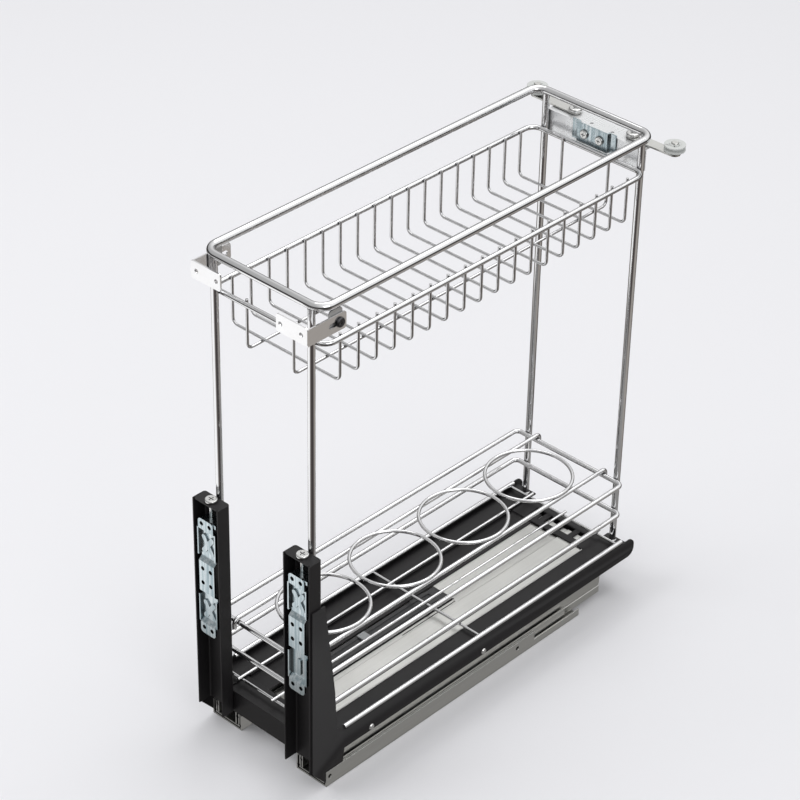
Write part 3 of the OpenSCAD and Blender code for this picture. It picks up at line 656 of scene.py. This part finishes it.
@dataclass
class Wire:
    """A round wire drawn run by run and bend by bend, in a mesh of its own or in one that is given."""

    diameter: float
    sides: int = 24
    bm: Mesh = field(default_factory=bmesh.new)
    at: Vector = field(default_factory=Vector)
    heading: Vector = field(default_factory=Vector)
    ring: list[Edge] = field(default_factory=list)
    first: list[Edge] = field(default_factory=list)

    def start(self, at: Point, heading: Point, capped: bool = True) -> "Wire":
        """Starts the wire.

        Args:
            at: Its first point.
            heading: The direction that it leaves in.
            capped: Whether its start is a cut end.

        Returns:
            The wire itself.
        """
        self.at, self.heading = Vector(at), Vector(heading).normalized()
        turn = self.heading.to_track_quat("Z", "Y").to_matrix().to_4x4()
        place = Matrix.Translation(self.at) @ turn
        made = bmesh.ops.create_circle(
            self.bm, cap_ends=False, radius=self.diameter / 2, segments=self.sides, matrix=place
        )
        self.ring = list({edge for vert in made["verts"] for edge in vert.link_edges})
        self.first = list(self.ring)
        if capped:
            self._cut(self.first, -self.heading)
            self.ring = [e for e in self.first if e.is_valid]
        return self

    def _grow(self, ring: list[Edge]) -> tuple[list[Vert], list[Edge]]:
        """Extrudes a ring, in place as yet.

        Args:
            ring: The ring's edges.

        Returns:
            The new ring's corners and its edges.
        """
        grown = bmesh.ops.extrude_edge_only(self.bm, edges=ring)["geom"]
        verts = [g for g in grown if isinstance(g, Vert)]
        ends = set(verts)
        return verts, [g for g in grown if isinstance(g, Edge) and all(v in ends for v in g.verts)]

    def _cut(self, ring: list[Edge], outward: Vector) -> None:
        """Closes a ring with a slightly rounded cut end.

        Args:
            ring: The ring's edges.
            outward: The direction that the end looks in.
        """
        centre = sum((v.co for e in ring for v in e.verts), Vector()) / (2 * len(ring))
        verts, rim = self._grow(ring)
        bmesh.ops.scale(self.bm, vec=(END_SHRINK,) * 3, verts=verts, space=Matrix.Translation(-centre))
        bmesh.ops.translate(self.bm, vec=outward * END_BULGE * self.diameter, verts=verts)
        bmesh.ops.contextual_create(self.bm, geom=rim)

    def run(self, length: float) -> "Wire":
        """Draws a straight run.

        Args:
            length: The run's length.

        Returns:
            The wire itself.
        """
        verts, self.ring = self._grow(self.ring)
        bmesh.ops.translate(self.bm, vec=self.heading * length, verts=verts)
        self.at = self.at + self.heading * length
        return self

    def bend(self, toward: Point, radius: float, angle: float = 90.0, steps: int = 8) -> "Wire":
        """Bends the wire.

        Args:
            toward: The direction, square to the run, that it bends towards.
            radius: The bend's radius, to the wire's centre.
            angle: The bend's angle in degrees.
            steps: Number of steps along the bend.

        Returns:
            The wire itself.
        """
        side = Vector(toward).normalized()
        axis = self.heading.cross(side)
        centre = self.at + side * radius
        geom = self.ring + list({v for e in self.ring for v in e.verts})
        angle = math.radians(angle)
        turned = bmesh.ops.spin(
            self.bm, geom=geom, cent=centre, axis=axis, angle=angle, steps=steps, use_duplicate=False
        )
        self.ring = [g for g in turned["geom_last"] if isinstance(g, Edge)]
        turn = Matrix.Rotation(angle, 3, axis)
        self.at = centre + turn @ (self.at - centre)
        self.heading = turn @ self.heading
        return self

    def end(self, closed: bool = False) -> Mesh:
        """Ends the wire.

        Args:
            closed: Whether its end meets its start.

        Returns:
            The mesh that it is in.
        """
        if closed:
            verts = list({v for e in self.ring + self.first for v in e.verts})
            bmesh.ops.remove_doubles(self.bm, verts=verts, dist=SEAM_GAP)
        else:
            self._cut(self.ring, self.heading)
        bmesh.ops.recalc_face_normals(self.bm, faces=self.bm.faces)
        return self.bm


def loop(centre: Point, width: float, depth: float, corner: float, wire: float, sides: int = 24) -> Mesh:
    """A rounded rectangle of wire, lying flat.

    Args:
        centre: The rectangle's centre.
        width: Distance between its side runs.
        depth: Distance between its front and rear runs.
        corner: Corner radius to the wire's centre.
        wire: The wire's diameter.
        sides: Number of sides of the round section.

    Returns:
        The mesh that it is in.
    """
    x, y, z = centre
    path = Wire(wire, sides).start((x, y - depth / 2, z), (1, 0, 0), capped=False)
    runs = (width / 2, depth, width, depth)
    inward = ((0, 1, 0), (-1, 0, 0), (0, -1, 0), (1, 0, 0))
    for number, (length, toward) in enumerate(zip(runs, inward)):
        path.run(length - corner * (2 if number else 1)).bend(toward, corner, steps=12)
    return path.run(width / 2 - corner).end(closed=True)


def merged(node: str) -> Mesh:
    """A copy of a solid with its loose triangles joined.

    Args:
        node: The solid's name.

    Returns:
        The mesh, in millimetres.
    """
    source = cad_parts[node]
    bm = bmesh.new()
    bm.from_mesh(source.data)
    bmesh.ops.transform(bm, matrix=Matrix.Scale(1 / MM, 4) @ source.matrix_world, verts=bm.verts)
    bmesh.ops.remove_doubles(bm, verts=bm.verts, dist=WELD_GAP)
    bmesh.ops.dissolve_limit(bm, angle_limit=FLAT_TURN, verts=bm.verts, edges=bm.edges)
    return bm


def ease_edges(bm: Mesh, width: float = 0.25, segments: int = 2) -> Mesh:
    """Eases the edges at which a mesh turns sharply.

    Args:
        bm: The mesh, in millimetres.
        width: How far the easing reaches from an edge; 0 only keeps the edges sharp.
        segments: Number of steps across it.

    Returns:
        The same mesh.
    """
    sharp = [e for e in bm.edges if len(e.link_faces) == 2 and e.calc_face_angle(0.0) > SHARP_TURN]
    if width > 0:
        bmesh.ops.bevel(
            bm, geom=sharp, offset=width, offset_type="OFFSET", segments=segments, profile=0.5, affect="EDGES",
            clamp_overlap=True, material=-1,
        )
        return bm
    for edge in sharp:
        edge.smooth = False
    return bm


@dataclass
class Assembly:
    """A group of pieces that are built and dressed together."""

    sizes: Sizes = field(default_factory=Sizes)
    edge: float = 0.3
    small_edge: float = 0.2

    def ease(
        self, node: str, finish: Finish, width: float = 0.25, segments: int = 2, body: str = Body.CARRIAGE.value
    ) -> None:
        """Puts an eased copy in a solid's place.

        Args:
            node: The solid's name.
            finish: The copy's finish.
            width: How far the easing reaches.
            segments: Number of steps across it.
            body: The body that it rides on.
        """
        settle(ease_edges(merged(node), width, segments), node + "_made", finish, node, body=body)

    def build(self) -> None:
        """Builds and dresses the group's pieces."""
        raise NotImplementedError


@dataclass
class WireFrame(Assembly):
    """The top rail, the four posts, the rim and the two loops."""

    rim_w: float = 141.0
    rim_corner: float = 12.0
    loop_heights: tuple[float, float] = (128.0, 91.0)
    loop_w: float = 142.5
    loop_corner: float = 6.0
    rail_sides: int = 32
    post_sides: int = 28
    post_sink: float = 0.8
    collar_lift: float = 0.05
    collar_reach: float = 1.1

    def build(self) -> None:
        """Builds the heavy wires of the frame."""
        s = self.sizes
        rail = loop((0, s.mid_y, s.rail_z), s.rail_w, s.frame_d, s.rail_corner, s.rail_wire, self.rail_sides)
        settle(rail, "top_rail_wire", BRIGHT_WIRE, "top_rail")
        run = s.inner_run(s.rim_wire)
        rim = loop((0, s.mid_y, s.rim_z), self.rim_w, run, self.rim_corner, s.rim_wire)
        settle(rim, "upper_rim_wire", BRIGHT_WIRE, "upper_rim")
        run = s.inner_run(s.loop_wire)
        for height, word in zip(self.loop_heights, ("top", "bottom")):
            made = loop((0, s.mid_y, height), self.loop_w, run, self.loop_corner, s.loop_wire)
            settle(made, f"lower_loop_{word}_wire", BRIGHT_WIRE, f"lower_loop_{word}")
        for side in Side:
            for word, y in (("front", s.front_y), ("rear", s.rear_y)):
                self.post(side, word, y)

    def post(self, side: Side, word: str, y: float) -> None:
        """Builds a post with the small weld collar at its foot.

        Args:
            side: Left or right.
            word: Front or rear.
            y: The post's place along the depth.
        """
        s = self.sizes
        x = side.value * s.post_x
        top = s.rail_z - s.rail_wire / 2 + self.post_sink
        bm = bmesh.new()
        Wire(s.post_d, self.post_sides, bm).start((x, y, s.flange_z), (0, 0, 1)).run(top - s.flange_z).end()
        collar(bm, (x, y, s.flange_z + self.collar_lift), s.post_d / 2, self.collar_reach)
        name = f"post_{word}_{side.label}"
        settle(bm, name + "_wire", BRIGHT_WIRE, name)


def collar(bm: Mesh, at: Point, radius: float, reach: float) -> None:
    """A hollow weld fillet round the foot of an upright wire.

    Args:
        bm: The mesh to add it to.
        at: The middle of the foot.
        radius: The wire's radius.
        reach: The fillet's height and width.
    """
    centre, inside, hollow = Vector(at), radius - 0.1, ((0.15, 0.45), (0.5, 0.12), (1.0, 0.0))
    outline = [(radius + out * reach, up * reach) for out, up in hollow]
    chain = [bm.verts.new(centre + Vector((x, 0, z))) for x, z in ((inside, reach), *outline, (inside, 0.0))]
    edges = [bm.edges.new(pair) for pair in zip(chain, chain[1:])]
    bmesh.ops.spin(
        bm, geom=chain + edges, cent=centre, axis=(0, 0, 1), angle=2 * math.pi, steps=28,
        use_merge=True, use_duplicate=False,
    )
    bmesh.ops.recalc_face_normals(bm, faces=bm.faces)


@dataclass
class UpperBasket(Assembly):
    """The bent wires and the two long wires of the upper basket."""

    count: int = 18
    pitch: float = 22.75
    wire: float = 2.8
    floor_z: float = 443.5
    leg_x: float = 66.9
    bend: float = 6.0
    peek: float = 0.5
    long_x: float = 29.0
    sides: int = 16

    def build(self) -> None:
        """Builds the basket's thin wires."""
        s = self.sizes
        top = s.rim_z + s.rim_wire / 2 + self.peek
        bm = bmesh.new()
        for i in range(self.count):
            y = s.mid_y + (i - (self.count - 1) / 2) * self.pitch
            path = Wire(self.wire, self.sides, bm).start((-self.leg_x, y, top), (0, 0, -1))
            path.run(top - self.floor_z - self.bend).bend((1, 0, 0), self.bend)
            path.run(2 * (self.leg_x - self.bend)).bend((0, 0, 1), self.bend)
            path.run(top - self.floor_z - self.bend).end()
        settle(bm, "upper_bent_wires_made", BASKET_WIRE, "upper_bent_wires")
        bm = bmesh.new()
        run = s.inner_run(s.rim_wire) - s.rim_wire - self.wire + 2 * s.weld_sink
        z = self.floor_z - self.wire + s.weld_sink
        for side in Side:
            start = (side.value * self.long_x, s.mid_y - run / 2, top)
            path = Wire(self.wire, self.sides, bm).start(start, (0, 0, -1))
            path.run(top - z - self.bend).bend((0, 1, 0), self.bend)
            path.run(run - 2 * self.bend).bend((0, 0, 1), self.bend)
            path.run(top - z - self.bend).end()
        settle(bm, "upper_long_wires_made", BASKET_WIRE, "upper_long_wires")


@dataclass
class LowerBasket(Assembly):
    """The wires on the floor of the lower basket."""

    rail_x: float = 74.607
    rail_z: float = 56.5
    rail_wire: float = 5.0
    wire: float = 3.0
    cross_z: float = 55.0
    long_z: float = 57.7
    long_x: float = 46.0
    rail_start: float = 28.0
    rail_end: float = 4.0
    wall_x: float = 76.8
    cross_front: float = 10.0
    cross_rear: float = 9.0
    sides: int = 18

    def build(self) -> None:
        """Builds the side rails, cross wires and long wires."""
        s = self.sizes
        bm = bmesh.new()
        length = s.frame_d - self.rail_start - self.rail_end
        for side in Side:
            at = (side.value * self.rail_x, s.front_y + self.rail_start, self.rail_z)
            Wire(self.rail_wire, bm=bm).start(at, (0, 1, 0)).run(length).end()
        settle(bm, "floor_side_rails_made", BRIGHT_WIRE, "floor_side_rails")
        bm = bmesh.new()
        run = s.inner_run(self.wire)
        for x in (-self.long_x, 0.0, self.long_x):
            start = (x, s.mid_y - run / 2, self.long_z)
            Wire(self.wire, self.sides, bm).start(start, (0, 1, 0)).run(run).end()
        settle(bm, "floor_long_wires_made", BRIGHT_WIRE, "floor_long_wires")
        bm = bmesh.new()
        places = (s.front_y + self.cross_front, s.mid_y, s.rear_y - self.cross_rear)
        for y, half in zip(places, (self.wall_x, self.rail_x, self.rail_x)):
            Wire(self.wire, self.sides, bm).start((-half, y, self.cross_z), (1, 0, 0)).run(2 * half).end()
        settle(bm, "floor_cross_wires_made", BRIGHT_WIRE, "floor_cross_wires")


@dataclass
class BottleInsert(Assembly):
    """The lift-out insert: two hooked side wires under four rings."""

    ring_d: float = 90.0
    ring_wire: float = 3.6
    ring_z: float = 136.8
    pitch: float = 99.0
    count: int = 4
    shift: float = 3.0
    wire: float = 4.5
    wire_z: float = 133.05
    drop: float = 10.0
    bend: float = 5.0
    gap: float = 0.3
    ring_sides: int = 18
    ring_steps: int = 72

    def build(self) -> None:
        """Builds the side wires and the rings."""
        s, body = self.sizes, Body.INSERT.value
        bm = bmesh.new()
        run = s.inner_run(s.loop_wire) + s.loop_wire + self.wire + 2 * self.gap
        for side in Side:
            x = side.value * self.ring_d / 2
            path = Wire(self.wire, bm=bm).start((x, s.mid_y - run / 2, self.wire_z - self.drop), (0, 0, 1))
            path.run(self.drop - self.bend).bend((0, 1, 0), self.bend)
            path.run(run - 2 * self.bend).bend((0, 0, -1), self.bend)
            path.run(self.drop - self.bend).end()
        settle(bm, "insert_side_wires_made", BRIGHT_WIRE, "insert_side_wires", body=body)
        bm = bmesh.new()
        for i in range(self.count):
            y = s.mid_y + self.shift + (i - (self.count - 1) / 2) * self.pitch
            path = Wire(self.ring_wire, self.ring_sides, bm)
            path.start((self.ring_d / 2, y, self.ring_z), (0, 1, 0), capped=False)
            path.bend((-1, 0, 0), self.ring_d / 2, 360.0, self.ring_steps)
            path.end(closed=True)
        settle(bm, "insert_rings_made", BRIGHT_WIRE, "insert_rings", body=body)


@dataclass
class Base(Assembly):
    """The black base of folded sheet and the galvanised floor sheet."""

    rivet_edge: float = 0.15

    def build(self) -> None:
        """Builds the base's sheets."""
        for word in ("side_panel_left", "side_panel_right", "front_cross_plate", "rear_cross_plate"):
            self.ease(word, BLACK_COAT, self.edge)
        self.ease("floor_pan", BLACK_COAT, self.edge)
        self.ease("floor_sheet", DIP_ZINC, self.small_edge)
        self.ease("panel_rivets", SCREW_ZINC, self.rivet_edge)


@dataclass
class SoftClose(Assembly):
    """The soft close unit with its catch, and the bridge that its pin stands on."""

    edge: float = 0.5
    small_edge: float = 0.3

    def build(self) -> None:
        """Builds the soft close unit."""
        self.ease("damper_housing", BLACK_MOULDING, self.edge, 3)
        self.ease("damper_cap", GREY_MOULDING, self.small_edge)
        self.ease("damper_catch", GREY_MOULDING, self.small_edge, body=Body.CATCH.value)
        self.ease("catch_bridge", DIP_ZINC, body=Body.CABINET.value)


@dataclass
class Slides(Assembly):
    """The two ball-bearing slides."""

    def build(self) -> None:
        """Builds the rails, cages and balls."""
        for side in Side:
            self.ease(f"cabinet_rail_{side.label}", DIP_ZINC, self.small_edge, body=Body.CABINET.value)
            self.ease(f"drawer_rail_{side.label}", DIP_ZINC, self.small_edge)
            self.ease(f"middle_rail_{side.label}", DIP_ZINC, self.small_edge, body=f"middle_{side.label}")
            for word in ("outer", "inner"):
                bearing = f"{word}_bearing_{side.label}"
                self.ease(f"{word}_cage_{side.label}", CAGE_STEEL, width=0.0, body=bearing)
                self.ease(f"{word}_balls_{side.label}", BALL_STEEL, width=0.0, body=bearing)


@dataclass
class DoorChannels(Assembly):
    """The upright channels with their door brackets and adjusting screws."""

    def build(self) -> None:
        """Builds the channels, caps, brackets and screws."""
        self.ease("channel_caps", BLACK_COAT, self.small_edge)
        for side in Side:
            self.ease(f"channel_{side.label}", BLACK_COAT, self.edge)
            self.ease(f"door_bracket_{side.label}", BLUE_ZINC, self.edge, 3, body=f"bracket_{side.label}")
            self.ease(f"adjust_screw_{side.label}", SCREW_ZINC, self.small_edge, body=f"screw_{side.label}")


@dataclass
class TopHooks(Assembly):
    """The chromed door hooks under the top rail, with their tabs and screws."""

    def build(self) -> None:
        """Builds the hooks."""
        for side in Side:
            self.ease(f"hook_tab_{side.label}", TAB_ZINC, self.small_edge)
            self.ease(f"door_hook_{side.label}", HOOK_CHROME, self.edge, 3, body=f"hook_{side.label}")
        self.ease("hook_screws", DARK_SCREW, self.small_edge)


@dataclass
class TipGuide(Assembly):
    """The guide behind the top rail, with its two roller arms."""

    edge: float = 0.25
    plate_half: float = 62.0

    def build(self) -> None:
        """Builds the guide. Its plate ends behind the posts, as in the photograph."""
        plate = merged("guide_plate")
        for vert in plate.verts:
            vert.co.x = max(-self.plate_half, min(self.plate_half, vert.co.x))
        settle(ease_edges(plate, self.edge), "guide_plate_made", GUIDE_ZINC, "guide_plate")
        self.ease("guide_box", BLUE_ZINC, self.edge)
        self.ease("guide_box_screws", SCREW_ZINC, self.small_edge)
        self.ease("arm_screws", SCREW_ZINC, self.small_edge)
        for side in Side:
            self.ease(f"roller_arm_{side.label}", DIP_ZINC, self.edge, body=f"arm_{side.label}")
            self.ease(f"roller_{side.label}", PALE_NYLON, self.small_edge, body=f"wheel_{side.label}")


# ---- studio ----


@dataclass(frozen=True)
class Lamp:
    """A soft lamp that looks at the part's middle. Bright metal shows it only if it is mirrored."""

    name: str
    at: Point
    size: tuple[float, float]
    watts: float
    mirrored: bool = True
    aim: Point = (0.0, 0.0, 0.25)

    def hang(self) -> None:
        """Hangs the lamp."""
        data = bpy.data.lights.new(self.name, "AREA")
        data.shape, data.energy = "RECTANGLE", self.watts
        data.size, data.size_y = self.size
        lamp = bpy.data.objects.new(self.name, data)
        turn = (Vector(self.aim) - Vector(self.at)).to_track_quat("-Z", "Y").to_matrix().to_4x4()
        lamp.visible_glossy = self.mirrored
        lamp.matrix_world = Matrix.Translation(self.at) @ turn
        bpy.context.scene.collection.objects.link(lamp)


@dataclass
class Studio:
    """The camera, the floor, the lamps and the room around the part, in metres and degrees.

    Attributes:
        bands: Directions on the floor, with the painted brightness that bright metal shows of it there.
        sky: Heights in the room, with how bright it is there.
        window: The direction in which the room is brightest in bright metal.
    """

    eye: Point = (1.4137, -1.5722, 1.7047)
    azimuth: float = 42.83
    elevation: float = 33.63
    roll: float = 1.14
    lens: float = 119.7
    sensor: float = 36.0
    sight: tuple[float, float] = (0.05, 60.0)
    paper: Colour = (0.84, 0.84, 0.866)
    floor_radius: float = 9.0
    floor_gap: float = 0.0004
    near_fade: tuple[float, float] = (0.35, 0.45)
    # painted shadow of the part on the floor, shown only in bright metal, close around its foot
    near_painted_shadow: Colour = (0.30, 0.295, 0.29)
    far_fade: tuple[float, float] = (1.15, 1.6)
    far_floor: Colour = (0.05, 0.048, 0.046)
    bands: tuple[tuple[float, Colour], ...] = (
        (-180.0, (0.20, 0.19, 0.18)),
        (-166.0, (0.45, 0.44, 0.43)),
        (-152.0, (1.12, 1.12, 1.12)),
        (-99.0, (1.15, 1.15, 1.15)),
        (-88.0, (0.55, 0.54, 0.53)),
        (-76.0, (0.16, 0.14, 0.13)),
        (-47.0, (0.05, 0.045, 0.045)),
        (-12.0, (0.10, 0.085, 0.08)),
        (12.0, (0.38, 0.355, 0.33)),
        (56.0, (0.36, 0.335, 0.31)),
        (74.0, (0.10, 0.09, 0.085)),
        (104.0, (0.12, 0.11, 0.105)),
        (132.0, (0.42, 0.41, 0.40)),
        (158.0, (0.16, 0.15, 0.145)),
        (180.0, (0.20, 0.19, 0.18)),
    )
    sky: tuple[tuple[float, float], ...] = ((0.0, 0.06), (0.54, 0.06), (0.61, 0.80), (0.78, 1.0))
    soft_level: float = 0.66
    window: Point = (0.66, 0.73, 0.18)
    window_span: tuple[float, float] = (-0.35, 0.55)
    window_level: tuple[float, float] = (0.50, 1.05)
    lamps: tuple[Lamp, ...] = (
        Lamp("Key lamp", (-1.6, -1.6, 2.6), (1.8, 1.8), 30.0, mirrored=False),
        Lamp("Fill lamp", (2.2, -0.8, 1.8), (1.4, 1.4), 10.0),
        Lamp("Top lamp", (-0.4, 1.4, 3.0), (2.4, 1.6), 25.0),
    )

    def camera(self) -> None:
        """Sets the camera where the photograph was taken from."""
        a, e, r = (math.radians(v) for v in (self.azimuth, self.elevation, self.roll))
        back = Vector((math.sin(a) * math.cos(e), -math.cos(a) * math.cos(e), math.sin(e)))
        right = Vector((math.cos(a), math.sin(a), 0.0))
        up = back.cross(right)
        tilted = (math.cos(r) * right + math.sin(r) * up, -math.sin(r) * right + math.cos(r) * up, back)
        data = bpy.data.cameras.new("Photo camera")
        data.lens, data.sensor_width, data.sensor_fit = self.lens, self.sensor, "HORIZONTAL"
        data.clip_start, data.clip_end = self.sight
        camera = bpy.data.objects.new("Photo camera", data)
        camera.matrix_world = Matrix.Translation(self.eye) @ Matrix(tilted).transposed().to_4x4()
        bpy.context.scene.collection.objects.link(camera)
        bpy.context.scene.camera = camera

    def floor(self) -> None:
        """Lays the pale floor. In glossy rays it shows a painted reflection instead: glowing bands by
        direction, a painted shadow of the part close around it, and darker as it gets further away.
        """
        bm = bmesh.new()
        bmesh.ops.create_circle(bm, cap_ends=True, radius=self.floor_radius, segments=96)
        bmesh.ops.translate(bm, vec=(0, 0, -self.floor_gap), verts=bm.verts)
        mesh = bpy.data.meshes.new("Floor")
        bm.to_mesh(mesh)
        bm.free()
        made = bpy.data.materials.new("Floor paper")
        graph = Graph.of(made)
        look = {"Base Color": (*self.paper, 1.0), "Roughness": 0.9, "Specular IOR Level": 0.1}
        paper = graph.add("ShaderNodeBsdfPrincipled", look)
        place = graph.add("ShaderNodeTexCoord").outputs["Object"]
        x, y, _ = graph.add("ShaderNodeSeparateXYZ", {0: place}).outputs
        turn = graph.remap(graph.math("ARCTAN2", y, x), -math.pi, math.pi)
        seen = graph.ramp(turn, [((angle + 180.0) / 360.0, colour) for angle, colour in self.bands])
        reach = graph.add("ShaderNodeVectorMath", {0: place}, operation="LENGTH").outputs["Value"]
        # paints a shadow of the part into the floor's reflection, near its middle
        seen = graph.blend(graph.remap(reach, *self.near_fade), self.near_painted_shadow, seen)
        seen = graph.blend(graph.remap(reach, *self.far_fade), seen, self.far_floor)
        # the floor glows in glossy rays only: a painted reflection, not a lamp
        shown = graph.add("ShaderNodeEmission", {"Color": seen, "Strength": 1.0})
        glossy = graph.add("ShaderNodeLightPath").outputs["Is Glossy Ray"]
        both = graph.add("ShaderNodeMixShader", {0: glossy, 1: paper.outputs[0], 2: shown.outputs[0]})
        graph.tree.links.new(both.outputs[0], graph.add("ShaderNodeOutputMaterial").inputs[0])
        mesh.materials.append(made)
        floor = bpy.data.objects.new("Floor", mesh)
        bpy.context.scene.collection.objects.link(floor)

    def room(self) -> None:
        """Sets the pale backdrop, and the room that lights the part and shows in its metal."""
        world = bpy.data.worlds.new("Room")
        bpy.context.scene.world = world
        graph = Graph.of(world)
        way = graph.add("ShaderNodeTexCoord").outputs["Generated"]
        height = graph.remap(graph.add("ShaderNodeSeparateXYZ", {0: way}).outputs[2], -1.0, 1.0)
        sky = graph.ramp(height, [(at, (level,) * 3) for at, level in self.sky])
        toward = graph.add("ShaderNodeVectorMath", {0: way, 1: self.window}, operation="DOT_PRODUCT")
        level = graph.remap(toward.outputs["Value"], *self.window_span, *self.window_level)
        soft, mirrored, shown = (
            graph.add("ShaderNodeBackground", {"Color": colour, "Strength": strength}).outputs[0]
            for colour, strength in ((sky, self.soft_level), (sky, level), ((*self.paper, 1.0), 1.0))
        )
        path = graph.add("ShaderNodeLightPath").outputs
        lit = graph.add("ShaderNodeMixShader", {0: path["Is Glossy Ray"], 1: soft, 2: mirrored}).outputs[0]
        both = graph.add("ShaderNodeMixShader", {0: path["Is Camera Ray"], 1: lit, 2: shown}).outputs[0]
        graph.tree.links.new(both, graph.add("ShaderNodeOutputWorld").inputs[0])

    def build(self) -> None:
        """Sets the whole stage."""
        self.camera()
        self.floor()
        self.room()
        for lamp in self.lamps:
            lamp.hang()
        bpy.context.scene.view_settings.view_transform = "Standard"


def main() -> None:
    """Builds the part and its stage in order."""
    logging.basicConfig(level=logging.INFO, format="%(message)s")
    Studio().build()
    wires = (WireFrame, UpperBasket, LowerBasket, BottleInsert)
    for group in (*wires, Base, SoftClose, Slides, DoorChannels, TopHooks, TipGuide):
        LOG.info("-- %s", group.__name__)
        group().build()


if __name__ == "__main__":
    main()
